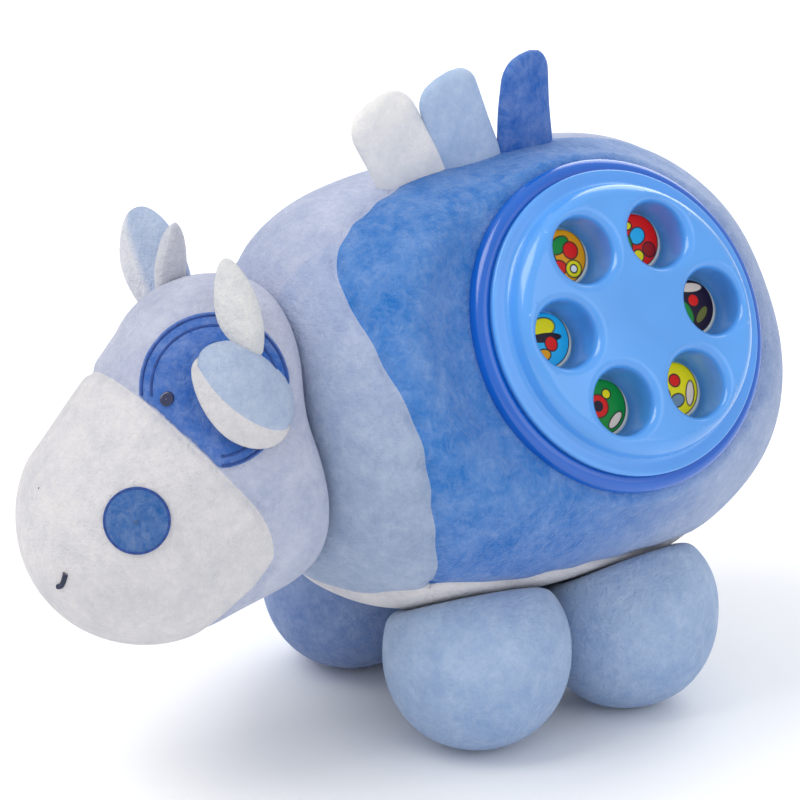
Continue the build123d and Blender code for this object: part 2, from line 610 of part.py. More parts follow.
def rear_shell():
    """The back half of the case: a cup with screw bosses, a battery bay and a speaker seat."""
    shell = tube(SHELL_RADIUS, SHELL_RADIUS - SHELL_WALL, BACK_INSIDE, FLANGE_BOTTOM)
    shell += disc(SHELL_RADIUS, SHELL_BACK, BACK_INSIDE)
    shell += block(BAY_WIDTH + 2 * BAY_WALL, BAY_LENGTH + 2 * BAY_WALL, BACK_INSIDE, BAY_ROOF_TOP, CELL_ROW_U)
    shell += disc(BOSS_RADIUS, BACK_INSIDE, BAY_ROOF_TOP, DOOR_SCREW_U)
    shell += door_shape(DOOR_GAP + BAY_WALL, BACK_INSIDE, BACK_INSIDE + BAY_WALL)
    shell -= door_shape(DOOR_GAP, SHELL_BACK - CUT, DOOR_INSIDE)
    shell -= block(BAY_WIDTH, BAY_LENGTH, SHELL_BACK - CUT, BAY_ROOF_BOTTOM, CELL_ROW_U)
    slot = BAY_WIDTH - 2 * BAY_WALL
    for end in (-1, 1):
        slot_v = end * (BAY_LENGTH / 2 - CONTACT_THICKNESS / 2)
        shell -= block(slot, CONTACT_THICKNESS, BAY_ROOF_BOTTOM, BAY_ROOF_TOP, CELL_ROW_U, slot_v)
    shell -= disc(DOOR_SCREW_RADIUS + SCREW_GAP, SHELL_BACK, BAY_ROOF_BOTTOM, DOOR_SCREW_U)
    for u, v in boss_places():
        shell += disc(BOSS_RADIUS, BACK_INSIDE, BOARD_BOTTOM, u, v)
        shell -= disc(CASE_SCREW_RADIUS + SCREW_GAP, SHELL_BACK - CUT, BOARD_BOTTOM + CUT, u, v)
        shell -= disc(CASE_SCREW_HEAD_RADIUS + SCREW_GAP, SHELL_BACK - CUT, SHELL_BACK + CASE_SCREW_HEAD, u, v)
    for u, v in [(0, 0)] + around(SOUND_HOLE_COUNT, SOUND_HOLE_CIRCLE):
        shell -= disc(SOUND_HOLE_RADIUS, SHELL_BACK - CUT, BACK_INSIDE + CUT, SPEAKER_U + u, SPEAKER_V + v)
    slot_length = KNOB_LENGTH + KNOB_TRAVEL + 2 * KNOB_GAP
    slot_width = KNOB_WIDTH + 2 * KNOB_GAP
    slot_u = SWITCH_U + KNOB_TRAVEL / 2
    shell -= block(slot_length, slot_width, SHELL_BACK - CUT, BACK_INSIDE + CUT, slot_u, SWITCH_V)
    return shell


def door_shape(gap, bottom, top):
    """The door's outline: the bay and its ledge, with an ear at one side for the screw."""
    edge = 2 * (DOOR_LEDGE + gap)
    cover = block(BAY_WIDTH + edge, BAY_LENGTH + edge, bottom, top, CELL_ROW_U)
    ear_radius = CASE_SCREW_HEAD_RADIUS + DOOR_LEDGE + gap
    ear = disc(ear_radius, bottom, top, DOOR_SCREW_U)
    reach = DOOR_SCREW_U - CELL_ROW_U
    ear += block(reach, 2 * ear_radius, bottom, top, CELL_ROW_U + reach / 2)
    return cover + ear


def battery_door(parts):
    """A lift-off cover, with a captive screw that comes away with it."""
    u = DOOR_SCREW_U
    sunk = SHELL_BACK + CASE_SCREW_HEAD - DOOR_LEDGE / 2
    door = door_shape(0, SHELL_BACK, DOOR_INSIDE)
    door -= disc(DOOR_SCREW_RADIUS, SHELL_BACK - CUT, DOOR_INSIDE + CUT, u)
    door -= disc(CASE_SCREW_HEAD_RADIUS, SHELL_BACK - CUT, sunk, u)
    shank = disc(DOOR_SCREW_RADIUS, sunk, DOOR_INSIDE + DOOR_TRAVEL / 2, u)
    top = disc(CASE_SCREW_HEAD_RADIUS, SHELL_BACK, sunk, u)
    slot = block(2 * CASE_SCREW_HEAD_RADIUS, WIRE_RADIUS, SHELL_BACK - CUT, SHELL_BACK + WIRE_RADIUS / 2, u)
    parts["battery_door"] = UNIT * door
    parts["battery_door_screw"] = UNIT * (shank + top - slot)


def battery_pieces(parts):
    """Three cells side by side, and the sprung plates at their two ends."""
    cells, contacts = [], []
    first = CELL_ROW_U - CELL_PITCH * (CELL_COUNT - 1) / 2
    spring = BAY_END_ROOM - CONTACT_THICKNESS
    for step in range(CELL_COUNT):
        place = Pos(first + step * CELL_PITCH, 0, CELL_AXIS) * Rot(90, 0, 0)
        cells.append(UNIT * (place * Cylinder(CELL_RADIUS, CELL_LENGTH)))
    for end in (-1, 1):
        plate_v = end * (BAY_LENGTH / 2 - CONTACT_THICKNESS / 2)
        lowest = CELL_AXIS - CELL_RADIUS / 2
        plate = block(BAY_WIDTH - 2 * BAY_WALL, CONTACT_THICKNESS, lowest, BOARD_BOTTOM, CELL_ROW_U, plate_v)
        for step in range(CELL_COUNT):
            spring_v = end * (CELL_LENGTH / 2 + spring / 2)
            coil = Pos(first + step * CELL_PITCH, spring_v, CELL_AXIS) * Rot(90, 0, 0)
            plate += coil * Cylinder(CELL_RADIUS / 2, spring)
        contacts.append(UNIT * plate)
    parts["battery_cells"] = Compound(cells)
    parts["battery_contacts"] = Compound(contacts)


def speaker_pieces(parts):
    """A small round speaker that faces the holes in the back of the case."""
    frame_top = BACK_INSIDE + SPEAKER_HEIGHT
    frame = disc(SPEAKER_RADIUS, BACK_INSIDE, frame_top, SPEAKER_U, SPEAKER_V)
    mouth = Pos(SPEAKER_U, SPEAKER_V, BACK_INSIDE) * Cone(
        SPEAKER_RADIUS - SPEAKER_RIM, MAGNET_RADIUS - SPEAKER_RIM, SPEAKER_HEIGHT - SPEAKER_RIM, align=BOTTOM
    )
    cone = Pos(SPEAKER_U, SPEAKER_V, BACK_INSIDE + SPEAKER_RIM) * Cone(
        SPEAKER_RADIUS - CONE_INSET, MAGNET_RADIUS - CONE_INSET, SPEAKER_HEIGHT - CONE_INSET, align=BOTTOM
    )
    magnet = disc(MAGNET_RADIUS, frame_top, frame_top + MAGNET_HEIGHT, SPEAKER_U, SPEAKER_V)
    parts["speaker_frame"] = UNIT * (frame - mouth + magnet)
    parts["speaker_cone"] = UNIT * cone


def switch_pieces(parts):
    """The on/off slide: a fixed body inside and a knob in the slot of the back."""
    body_bottom = BACK_INSIDE + KNOB_STEM
    middle_u = SWITCH_U + KNOB_TRAVEL / 2
    body = block(SWITCH_LENGTH, SWITCH_WIDTH, body_bottom, body_bottom + SWITCH_HEIGHT, middle_u, SWITCH_V)
    outer_end = SHELL_BACK - KNOB_STANDS
    groove_end = outer_end + KNOB_STANDS / 2
    knob = block(KNOB_LENGTH, KNOB_WIDTH, outer_end, body_bottom - KNOB_GAP, SWITCH_U, SWITCH_V)
    for ridge in (-1, 0, 1):
        groove_u = SWITCH_U + ridge * KNOB_LENGTH / 4
        knob -= block(KNOB_GROOVE, KNOB_WIDTH, outer_end, groove_end, groove_u, SWITCH_V)
    parts["power_switch_body"] = UNIT * body
    parts["power_switch_knob"] = UNIT * knob


def inside_pieces(parts):
    """Screws, chip and wires of the case."""
    screws = []
    for u, v in boss_places():
        shank = disc(CASE_SCREW_RADIUS, SHELL_BACK + CASE_SCREW_HEAD, FLANGE_BOTTOM, u, v)
        top = disc(CASE_SCREW_HEAD_RADIUS, SHELL_BACK, SHELL_BACK + CASE_SCREW_HEAD, u, v)
        slot = block(2 * CASE_SCREW_HEAD_RADIUS, WIRE_RADIUS, SHELL_BACK - CUT, SHELL_BACK + WIRE_RADIUS, u, v)
        screws.append(UNIT * (shank + top - slot))
    parts["case_screws"] = Compound(screws)
    chip = disc(CHIP_RADIUS, BOARD_BOTTOM - CHIP_HEIGHT, BOARD_BOTTOM, CHIP_U, CHIP_V)
    parts["sound_chip"] = UNIT * chip
    speaker_terminal = BACK_INSIDE + SPEAKER_HEIGHT
    switch_top = BACK_INSIDE + KNOB_STEM + SWITCH_HEIGHT
    wires = []
    for side in (-1, 1):
        rim_v = SPEAKER_V + side * (SPEAKER_RADIUS + MAGNET_RADIUS) / 2
        wires.append(UNIT * disc(WIRE_RADIUS, speaker_terminal, BOARD_BOTTOM, SPEAKER_U, rim_v))
        pin_u = SWITCH_U + KNOB_TRAVEL / 2 + side * SWITCH_LENGTH / 4
        wires.append(UNIT * disc(WIRE_RADIUS, switch_top, BOARD_BOTTOM, pin_u, SWITCH_V))
    parts["internal_wires"] = Compound(wires)


def unit_pieces(parts):
    parts["front_plate"] = UNIT * front_plate()
    parts["rear_shell"] = UNIT * rear_shell()
    parts["keypad_mat"] = UNIT * keypad_mat()
    parts["circuit_board"] = UNIT * circuit_board()
    for number, (u, v) in enumerate(around(BUTTON_COUNT, BUTTON_PITCH_RADIUS), start=1):
        parts[f"button_{number}"] = UNIT * button(u, v)
    battery_door(parts)
    battery_pieces(parts)
    speaker_pieces(parts)
    switch_pieces(parts)
    inside_pieces(parts)


# ---------------------------------------------------------------- assembly
def build():
    parts = {}
    torso_outside = torso()
    head_outside = head()
    torso_pieces(parts)
    head_pieces(parts, torso_outside)
    face_pieces(parts)
    leg_pieces(parts, torso_outside)
    face = head(-PATCH) + torso_outside
    horn_pieces(parts, face)
    horns = parts["horn_left"] + parts["horn_right"]
    ear_pieces(parts, face + horns)
    back_pieces(parts, torso_outside + head_outside)
    socket_pieces(parts)
    unit_pieces(parts)
    return parts


def solid_parts(shape):
    """Drops everything but solids, so that each file holds closed bodies only."""
    solids = shape.solids()
    return solids[0] if len(solids) == 1 else Compound(solids)


os.makedirs("parts", exist_ok=True)
pieces = {name: solid_parts(shape) for name, shape in build().items()}
whole = Compound(list(pieces.values())).bounding_box()
to_origin = Pos(-(whole.min.X + whole.max.X) / 2, -(whole.min.Y + whole.max.Y) / 2, -whole.min.Z)
for name, shape in pieces.items():
    export_step(to_origin * shape, f"parts/{name}.step")
print("moved by", to_origin.position, "size", whole.size)
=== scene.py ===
import math

import bmesh
import bpy
import numpy as np
from mathutils import Matrix, Vector, geometry


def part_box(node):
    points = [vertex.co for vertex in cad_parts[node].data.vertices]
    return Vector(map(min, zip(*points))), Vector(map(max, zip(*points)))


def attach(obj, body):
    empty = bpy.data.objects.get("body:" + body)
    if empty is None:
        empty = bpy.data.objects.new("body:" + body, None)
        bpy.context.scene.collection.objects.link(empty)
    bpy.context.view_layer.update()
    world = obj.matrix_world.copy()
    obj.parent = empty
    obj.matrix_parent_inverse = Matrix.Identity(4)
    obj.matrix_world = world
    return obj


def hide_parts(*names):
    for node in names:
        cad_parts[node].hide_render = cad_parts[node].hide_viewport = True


# A plush toy cow with a round six-button music unit in its left flank.
# The working frame below is in millimetres about the point on the ground between the four legs;
# -Y is the way the cow faces, +X is its left side. 'row' turns it into the shared frame, in metres.
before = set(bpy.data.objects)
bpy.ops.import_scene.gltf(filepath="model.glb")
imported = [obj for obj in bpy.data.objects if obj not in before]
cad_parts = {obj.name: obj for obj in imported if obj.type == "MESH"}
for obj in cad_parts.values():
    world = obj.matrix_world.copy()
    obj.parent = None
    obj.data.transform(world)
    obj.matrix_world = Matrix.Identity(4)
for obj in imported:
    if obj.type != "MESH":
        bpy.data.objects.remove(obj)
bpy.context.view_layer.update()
MM = 0.001
LEG_MIDDLE_Y = 1.5
TAU = 2 * math.pi
X, Y, Z = np.eye(3)
PLUSH, UNIT = "plush", "music_unit"

LEGS = [f"leg_cover_{a}_{b}" for a in ("front", "rear") for b in ("left", "right")]
leg_boxes = [np.array(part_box(name)) / MM for name in LEGS]
leg_places = np.array([b.mean(axis=0) for b in leg_boxes])
ORIGIN = np.array([leg_places[:, 0].mean(), leg_places[:, 1].mean() - LEG_MIDDLE_Y, 0.0])
leg_places = leg_places - ORIGIN


def row(points):
    return (np.asarray(points, float) + ORIGIN) * MM


def unit(vector):
    vector = np.asarray(vector, float)
    return vector / np.linalg.norm(vector)


def evenly_round(count):
    """Angles of evenly spaced places round a circle."""
    return np.arange(count) / count * TAU


# ---------------------------------------------------------------- camera
AZIMUTH, ELEVATION = math.radians(57), math.radians(21)
back = np.array([
    math.sin(AZIMUTH) * math.cos(ELEVATION),
    -math.cos(AZIMUTH) * math.cos(ELEVATION),
    math.sin(ELEVATION),
])
right = np.array([math.cos(AZIMUTH), math.sin(AZIMUTH), 0.0])
up = np.cross(back, right)
CAMERA_DISTANCE = 1250.0
AIM_LEFT, AIM_UP = 25.9, 86.6  # the middle of the view, from the ground point between the legs
camera_data = bpy.data.cameras.new("camera")
camera_data.lens = 180
camera_data.sensor_width = 36
camera = bpy.data.objects.new("camera", camera_data)
bpy.context.scene.collection.objects.link(camera)
turn = Matrix([[right[i], up[i], back[i]] for i in range(3)]).to_4x4()
camera_place = row(back * CAMERA_DISTANCE - right * AIM_LEFT + up * AIM_UP)
camera.matrix_world = Matrix.Translation(camera_place) @ turn
bpy.context.scene.camera = camera


# ---------------------------------------------------------------- materials
def linear(r, g, b):
    """A colour as a screen shows it, 0 to 255, as the linear values that shaders use."""
    shares = [c / 255 for c in (r, g, b)]
    return tuple(c / 12.92 if c <= 0.04045 else ((c + 0.055) / 1.055) ** 2.4 for c in shares) + (1.0,)


class Nodes:
    """A material's node tree, with short ways to add a node and to join sockets."""

    def __init__(self, name):
        self.material = bpy.data.materials.new(name)
        self.material.use_nodes = True
        self.tree = self.material.node_tree
        self.shader = self.tree.nodes["Principled BSDF"]

    def add(self, kind, **values):
        node = self.tree.nodes.new(kind)
        for key, value in values.items():
            if hasattr(node, key):
                setattr(node, key, value)
            else:
                node.inputs[key.replace("_", " ")].default_value = value
        return node

    def feed(self, socket, value):
        """Sets a socket to a number or colour, or joins another socket to it."""
        if isinstance(value, (int, float, tuple)):
            socket.default_value = value
        else:
            self.tree.links.new(value, socket)

    def math(self, operation, first, second=None):
        node = self.add("ShaderNodeMath", operation=operation)
        for socket, value in zip(node.inputs, (first, second)):
            if value is not None:
                self.feed(socket, value)
        return node.outputs[0]

    def mix(self, factor, first, second, blend="MIX"):
        node = self.add("ShaderNodeMix", data_type="RGBA", blend_type=blend)
        for index, value in ((0, factor), (6, first), (7, second)):
            self.feed(node.inputs[index], value)
        return node.outputs[2]

    def noise(self, scale, detail=3.0, roughness=0.6, distortion=0.0):
        """Uneven grey from 0 to 1, with about 'scale' patches to a metre."""
        settings = {"Scale": scale, "Detail": detail, "Roughness": roughness, "Distortion": distortion}
        node = self.add("ShaderNodeTexNoise", **settings)
        self.feed(node.inputs["Vector"], self.add("ShaderNodeTexCoord").outputs["Object"])
        return node.outputs["Fac"]

    def span(self, value, low, high, to_low=0.0, to_high=1.0):
        """Stretches a range of values to another, and stops at its ends."""
        node = self.add("ShaderNodeMapRange")
        for socket, setting in zip(node.inputs, (value, low, high, to_low, to_high)):
            self.feed(socket, setting)
        return node.outputs[0]

    def uneven(self, low, high, scale):
        """A value that drifts softly between two."""
        return self.span(self.noise(scale, 2.0), 0.3, 0.7, low, high)

    def bump(self, height, strength, distance, below=None):
        node = self.add("ShaderNodeBump", Strength=strength, Distance=distance)
        self.feed(node.inputs["Height"], height)
        if below is not None:
            self.feed(node.inputs["Normal"], below)
        return node.outputs[0]

    def surface(self, **values):
        for key, value in values.items():
            self.feed(self.shader.inputs[key.replace("_", " ")], value)


# how many patches to a metre each kind of unevenness in the pile has
SOFT_SCALE, BRUSHED_SCALE, STREAK_SCALE, FINE_SCALE, TUFT_SCALE = 160, 95, 260, 420, 1500
# what the tint is multiplied by where the pile is brushed dark, and between its tufts
BRUSHED_DARK, TUFT_DARK = (0.78, 0.83, 0.9, 1.0), (0.6, 0.68, 0.85, 1.0)
PILE_LIGHT, PURE_WHITE = (0.9, 0.93, 1.0, 1.0), (1.0, 1.0, 1.0, 1.0)


def velour(name, pile=1.0):
    """Short plush pile: brushed light and dark blotches, fine tufts, and a soft sheen at grazing angles."""
    m = Nodes(name)
    tint = m.add("ShaderNodeAttribute", attribute_name="tint").outputs["Color"]
    brushed = m.span(m.noise(BRUSHED_SCALE, 5.0, 0.7, 0.3), 0.3, 0.72)
    fine = m.span(m.noise(FINE_SCALE, 3.0, 0.7), 0.3, 0.72)
    tufts = m.noise(TUFT_SCALE, 2.0, 0.6)
    streaks = m.span(m.noise(STREAK_SCALE, 4.0, 0.75, 0.6), 0.42, 0.7)
    lighter = m.mix(0.14, tint, PILE_LIGHT)
    darker = m.mix(1.0, tint, BRUSHED_DARK, "MULTIPLY")
    colour = m.mix(brushed, darker, lighter)
    colour = m.mix(m.math("MULTIPLY", streaks, 0.2), colour, m.mix(0.5, tint, PURE_WHITE))
    colour = m.mix(m.math("MULTIPLY", fine, 0.3), colour, m.mix(0.8, tint, TUFT_DARK, "MULTIPLY"))
    soft = m.bump(m.noise(SOFT_SCALE, 3.0, 0.6, 0.4), 0.35 * pile, 0.0016)
    pile_bump = m.bump(m.math("ADD", fine, tufts), 0.55 * pile, 0.0007, soft)
    m.surface(Base_Color=colour, Roughness=0.92, Sheen_Weight=0.25, Sheen_Roughness=0.45)
    m.surface(Specular_IOR_Level=0.15, Normal=pile_bump)
    return m.material


def thread(name, colour):
    """Sewing thread: its colour varies along it, and it is finely rough."""
    m = Nodes(name)
    shade = m.uneven(0.6, 1.3, 900)
    m.surface(Base_Color=m.mix(1.0, colour, shade, "MULTIPLY"), Roughness=0.6)
    m.surface(Normal=m.bump(m.noise(1800, 1.0), 0.5, 0.0004))
    return m.material


def plastic(name, colour, roughness=0.22, coat=0.4, deeper=None):
    """Moulded plastic: faint colour drift and mould texture, glossy or matt. Given a colour for the wells, it
    paints points down a well lighter towards it: painted light against their shade.
    """
    m = Nodes(name)
    base = m.mix(1.0, colour, m.uneven(0.94, 1.06, 30), "MULTIPLY")
    # painted light: points down a well get the lighter colour
    if deeper is not None:
        depth = m.add("ShaderNodeAttribute", attribute_name="depth").outputs["Fac"]
        base = m.mix(depth, base, deeper)
    gloss = m.uneven(roughness * 0.9, roughness * 1.15, 500)
    m.surface(Base_Color=base, Roughness=gloss, Coat_Weight=coat, Coat_Roughness=0.12)
    m.surface(Normal=m.bump(m.noise(260, 2.0), 0.03, 0.0004))
    return m.material


# a key's print, in shares of the cap's radius: the circle that it fills, then its outlines
PRINT_MIDDLE, PRINT_RADIUS, PRINT_EDGE = (-0.12, 0.1), 0.98, 0.015
CIRCLE_OUTLINE, SHAPE_OUTLINE, SHAPE_EDGE = 0.04, 0.05, 0.07
CREAM, INK = linear(243, 236, 214), linear(38, 26, 34)


def printed(name, ground, shapes):
    """A cream cap with a generic bright print: ellipses on a ground colour, with thin dark outlines."""
    m = Nodes(name)
    place = m.add("ShaderNodeAttribute", attribute_name="print").outputs["Vector"]
    split = m.add("ShaderNodeSeparateXYZ")
    m.feed(split.inputs[0], place)

    def inside(cx, cy, rx, ry, degrees, soft=SHAPE_EDGE):
        """1 in an ellipse and 0 outside it, with a soft edge."""
        x = m.math("SUBTRACT", split.outputs[0], cx)
        y = m.math("SUBTRACT", split.outputs[1], cy)
        c, s = math.cos(math.radians(degrees)), math.sin(math.radians(degrees))
        across = m.math("ADD", m.math("MULTIPLY", x, c / rx), m.math("MULTIPLY", y, s / rx))
        along = m.math("ADD", m.math("MULTIPLY", x, -s / ry), m.math("MULTIPLY", y, c / ry))
        squares = m.math("ADD", m.math("MULTIPLY", across, across), m.math("MULTIPLY", along, along))
        return m.span(m.math("SQRT", squares), 1.0 - soft, 1.0 + soft, 1.0, 0.0)

    colour = CREAM
    for radius, paint in ((PRINT_RADIUS + CIRCLE_OUTLINE, INK), (PRINT_RADIUS, ground)):
        colour = m.mix(inside(*PRINT_MIDDLE, radius, radius, 0, PRINT_EDGE), colour, paint)
    for cx, cy, rx, ry, degrees, paint in shapes:
        colour = m.mix(inside(cx, cy, rx + SHAPE_OUTLINE, ry + SHAPE_OUTLINE, degrees), colour, INK)
        colour = m.mix(inside(cx, cy, rx, ry, degrees), colour, paint)
    m.surface(Base_Color=colour, Roughness=0.4, Specular_IOR_Level=0.25)
    m.surface(Normal=m.bump(m.noise(300, 1.0), 0.04, 0.0003))
    return m.material


def metal(name, colour):
    m = Nodes(name)
    shade = m.mix(1.0, colour, m.uneven(0.85, 1.1, 120), "MULTIPLY")
    m.surface(Base_Color=shade, Metallic=1.0, Roughness=m.uneven(0.25, 0.42, 900))
    return m.material


# ---------------------------------------------------------------- making pieces
def settle(piece, body, nodes):
    """Puts a piece in the scene, riding on a body and standing for CAD nodes."""
    bpy.context.scene.collection.objects.link(piece)
    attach(piece, body)
    if nodes:
        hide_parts(*nodes)
    return piece


def mesh_piece(name, points, faces, material, body, nodes=(), tint=None):
    """One smooth piece from points in the working frame; the tint is one colour or one for each point."""
    mesh = bpy.data.meshes.new(name)
    mesh.from_pydata(row(points).tolist(), [], [list(map(int, f)) for f in faces])
    mesh.materials.append(material)
    if tint is not None:
        layer = mesh.attributes.new("tint", "FLOAT_COLOR", "POINT")
        values = np.ones((len(points), 4))
        values[:, :3] = np.asarray(tint)[:, :3] if np.ndim(tint) == 2 else np.asarray(tint)[None, :3]
        layer.data.foreach_set("color", values.ravel())
    mesh.shade_smooth()
    mesh.validate()
    return settle(bpy.data.objects.new(name, mesh), body, nodes)


def tube_piece(name, points, radius, material, body, nodes=(), cyclic=False):
    """A thread or cord-like seam: a smooth curve through points with a round section."""
    data = bpy.data.curves.new(name, "CURVE")
    data.dimensions = "3D"
    data.bevel_depth = radius * MM
    data.bevel_resolution = 3
    spline = data.splines.new("POLY")
    spline.points.add(len(points) - 1)
    for point, place in zip(spline.points, row(points)):
        point.co = (*place, 1.0)
    spline.use_cyclic_u = cyclic
    data.materials.append(material)
    return settle(bpy.data.objects.new(name, data), body, nodes)


def soft_min(a, b, k):
    """The smaller of two distances, rounded over a width of k where they meet."""
    h = np.clip(0.5 + 0.5 * (b - a) / k, 0, 1)
    return b * (1 - h) + a * h - k * h * (1 - h)


def soft_max(a, b, k):
    return -soft_min(-a, -b, k)


def capsule(p, a, ra, b, rb):
    """Distance outside a capsule that narrows from one end to the other."""
    way = np.asarray(b, float) - np.asarray(a, float)
    share = np.clip(((p - a) @ way) / (way @ way), 0, 1)
    return np.linalg.norm(p - (np.asarray(a) + share[:, None] * way), axis=1) - (ra + share * (rb - ra))


def lump(p, centre, size, height):
    """A round swelling of the stuffing."""
    return height * np.exp(-((p - np.asarray(centre)) ** 2).sum(axis=1) / (2 * size * size))


def pinch(distance, width):
    """1 on a seam, falling smoothly to 0 away from it."""
    return np.exp(-((distance / width) ** 2))


def ripple(p, size, height, seed):
    """Soft unevenness of stuffed fabric: a fixed sum of slanted waves."""
    total = np.zeros(len(p))
    draw = np.random.default_rng(seed)
    for _ in range(7):
        way = unit(draw.normal(size=3))
        length = size * draw.uniform(0.7, 1.5)
        total += np.sin(p @ way * (TAU / length) + draw.uniform(0, TAU))
    return height * total / 7


# ---------------------------------------------------------------- body shapes, as distances outside
TORSO_MIDDLE = np.array([0.0, 3.0, 101.5])
TORSO_HALF, TORSO_RADIUS = 84.0, 67.0
TORSO_LUMPS = (((0, 22, 168), 26, 3.2), ((-8, -58, 152), 20, 3.0), ((20, 80, 74), 24, 2.6))
TILT = math.radians(28)
N = np.array([math.cos(TILT), 0.0, math.sin(TILT)])  # out of the music unit
U = Y  # towards the tail
V = np.array([-math.sin(TILT), 0.0, math.cos(TILT)])  # up the unit's slope
UNIT_CENTRE = np.array([41.5, 17.0, 125.6])
RING_RADIUS = 50.0
SEAT_MARGIN, SEAT_SLOPE = 1.5, 0.46  # the fabric falls away from the ring beyond this margin
COLLAR_MARGIN, COLLAR_HEIGHT, COLLAR_DEPTH = 2.2, 0.6, 20
OPENING_RADIUS, OPENING_DEPTH = 46.0, 25  # what is left out of the skin behind the ring
# each seam as places along it and how far across it lies there
BACK_SEAM = ([-80, -55, -32, -12, 8, 60, 90], [16, 10, 2, -6, -6, -2, 0])  # along y, x
SHOULDER_SEAM = ([40, 61, 85, 113, 131, 150, 165], [-42, -48, -55, -59.5, -64, -66, -66])  # along z, y
BELLY_SEAM = ([-85, -62, -46, -24, 0, 20, 60, 90], [45, 51, 58.5, 55.5, 53.5, 52.5, 50.5, 49])  # along y, z
NAPE_LINE = ([-90, -60, 90], [0, 12, 0])  # along y, x


def eased(x, knots, values):
    """A smooth curve through a few points, level beyond the last."""
    knots, values = np.array(knots, float), np.array(values, float)
    slopes = np.gradient(values, knots)
    x = np.clip(x, knots[0], knots[-1])
    step = np.clip(np.searchsorted(knots, x) - 1, 0, len(knots) - 2)
    wide = knots[step + 1] - knots[step]
    t = (x - knots[step]) / wide
    rise = (2 * t**3 - 3 * t**2 + 1) * values[step] + (3 * t**2 - 2 * t**3) * values[step + 1]
    return rise + wide * ((t**3 - 2 * t**2 + t) * slopes[step] + (t**3 - t**2) * slopes[step + 1])


def back_seam(p):
    return p[:, 0] - eased(p[:, 1], *BACK_SEAM)


def shoulder_seam(p):
    return p[:, 1] - eased(p[:, 2], *SHOULDER_SEAM)


def belly_seam(p):
    return p[:, 2] - eased(p[:, 1], *BELLY_SEAM)


def flank_edge(p):
    """Positive on the blue flank: behind the shoulder seam and left of the back seam, with a round corner."""
    return soft_min(shoulder_seam(p), back_seam(p), 14)


def near_unit(p):
    """Height above the ring's seat and distance from its axis."""
    q = p - UNIT_CENTRE
    height = q @ N
    return height, np.sqrt(np.maximum((q**2).sum(axis=1) - height**2, 0))


def torso_field(p):
    """The stuffed body: a fat barrel with lumps, flattened round the unit's ring."""
    q = p - TORSO_MIDDLE
    share = (np.abs(q[:, 1] / TORSO_HALF) ** 3 + (np.hypot(q[:, 0], q[:, 2]) / TORSO_RADIUS) ** 3) ** (1 / 3)
    f = (share - 1) * TORSO_RADIUS
    f -= sum(lump(p, *one) for one in TORSO_LUMPS)
    height, reach = near_unit(p)
    seat = SEAT_SLOPE * np.maximum(reach - RING_RADIUS - SEAT_MARGIN, 0)
    f = soft_max(f, height - seat, 5)
    collar = soft_max(reach - RING_RADIUS - COLLAR_MARGIN, height - COLLAR_HEIGHT, 3)
    f = soft_min(f, np.maximum(collar, -height - COLLAR_DEPTH), 7)
    return f - ripple(p, 46, 0.7, 3)


def nape_line(p):
    """Positive on the left shoulder: the back seam carried forward to the neck."""
    return p[:, 0] - np.interp(p[:, 1], *NAPE_LINE)


def torso_skin(p):
    """The stuffed body with its seams drawn in, deeper and shallower along them."""
    f = torso_field(p)
    pucker = 0.75 + 0.25 * np.sin(p[:, 2] * 0.55 + p[:, 1] * 0.4)
    side = np.where(belly_seam(p) > 0, 1.0, 0.0)
    f += side * 1.5 * pucker * pinch(flank_edge(p), 2.0)
    f += side * 1.3 * pinch(shoulder_seam(p), 2.4) * (p[:, 0] < -20)
    f += 1.4 * pucker * pinch(belly_seam(p), 2.0)
    return f


MUZZLE, MUZZLE_R = np.array([0, -119.0, 82.0]), 38.5
CROWN, CROWN_R = np.array([0, -96.0, 119.5]), 31.5
CHEEK, CHEEK_R, CHEEK_SPREAD = np.array([0, -97.0, 90.0]), 37.0, np.array([6, 0, 0])
HEAD_MIDDLE = np.array([0, -106.0, 98.0])
HEAD_PADDING = 0.9
MASK_TOP = np.array([0, -127.0, 124.0])
MASK_SLOPE = math.radians(53)
MASK_CHEEK = ([40, 55, 67, 78, 130], [-116, -110, -103, -98.5, -98.5])  # along z, y
CHEEK_SEAM = [(43, -99, 97), (41.5, -109.5, 92), (39.5, -121.6, 80), (34.5, -133.8, 70.6), (25, -143, 62)]
CLEAR_OF_TORSO = 0.6


def mask_edge(p):
    """Positive on the white face."""
    brow = (p - MASK_TOP) @ np.array([0, -math.sin(MASK_SLOPE), -math.cos(MASK_SLOPE)])
    cheek = np.interp(p[:, 2], *MASK_CHEEK) - p[:, 1]
    return soft_min(brow, cheek, 9)


def segment_reach(p, points):
    """Distance from a line through a few points."""
    best = np.full(len(p), 1e9)
    for a, b in zip(points[:-1], points[1:]):
        best = np.minimum(best, capsule(p, np.array(a, float), 0, np.array(b, float), 0))
    return best


def head_field(p):
    face = capsule(p, MUZZLE, MUZZLE_R, CROWN, CROWN_R)
    cheeks = capsule(p, CHEEK - CHEEK_SPREAD, CHEEK_R, CHEEK + CHEEK_SPREAD, CHEEK_R)
    return soft_min(face, cheeks, 8) + HEAD_PADDING - ripple(p, 38, 0.5, 5)


def head_skin(p):
    """The stuffed head with the mask's edge drawn in and a raised cheek seam on each side."""
    f = head_field(p)
    f += 1.2 * pinch(mask_edge(p), 1.8)
    mirrored = p * np.array([-1, 1, 1])
    for side in (p, mirrored):
        f -= 0.9 * pinch(segment_reach(side, CHEEK_SEAM), 1.5)
    return soft_max(f, -torso_field(p) + CLEAR_OF_TORSO, 5)


LEG_RADIUS, LEG_CENTRE_HEIGHT, LEG_SHIFT = 28.4, 28.5, 1.6  # the shift is towards the middle, along y
LEG_HALF_BELOW, LEG_HALF_ABOVE = 29.3, 26.8
LEG_POWER_BELOW, LEG_POWER_ABOVE = 2.1, 2.3


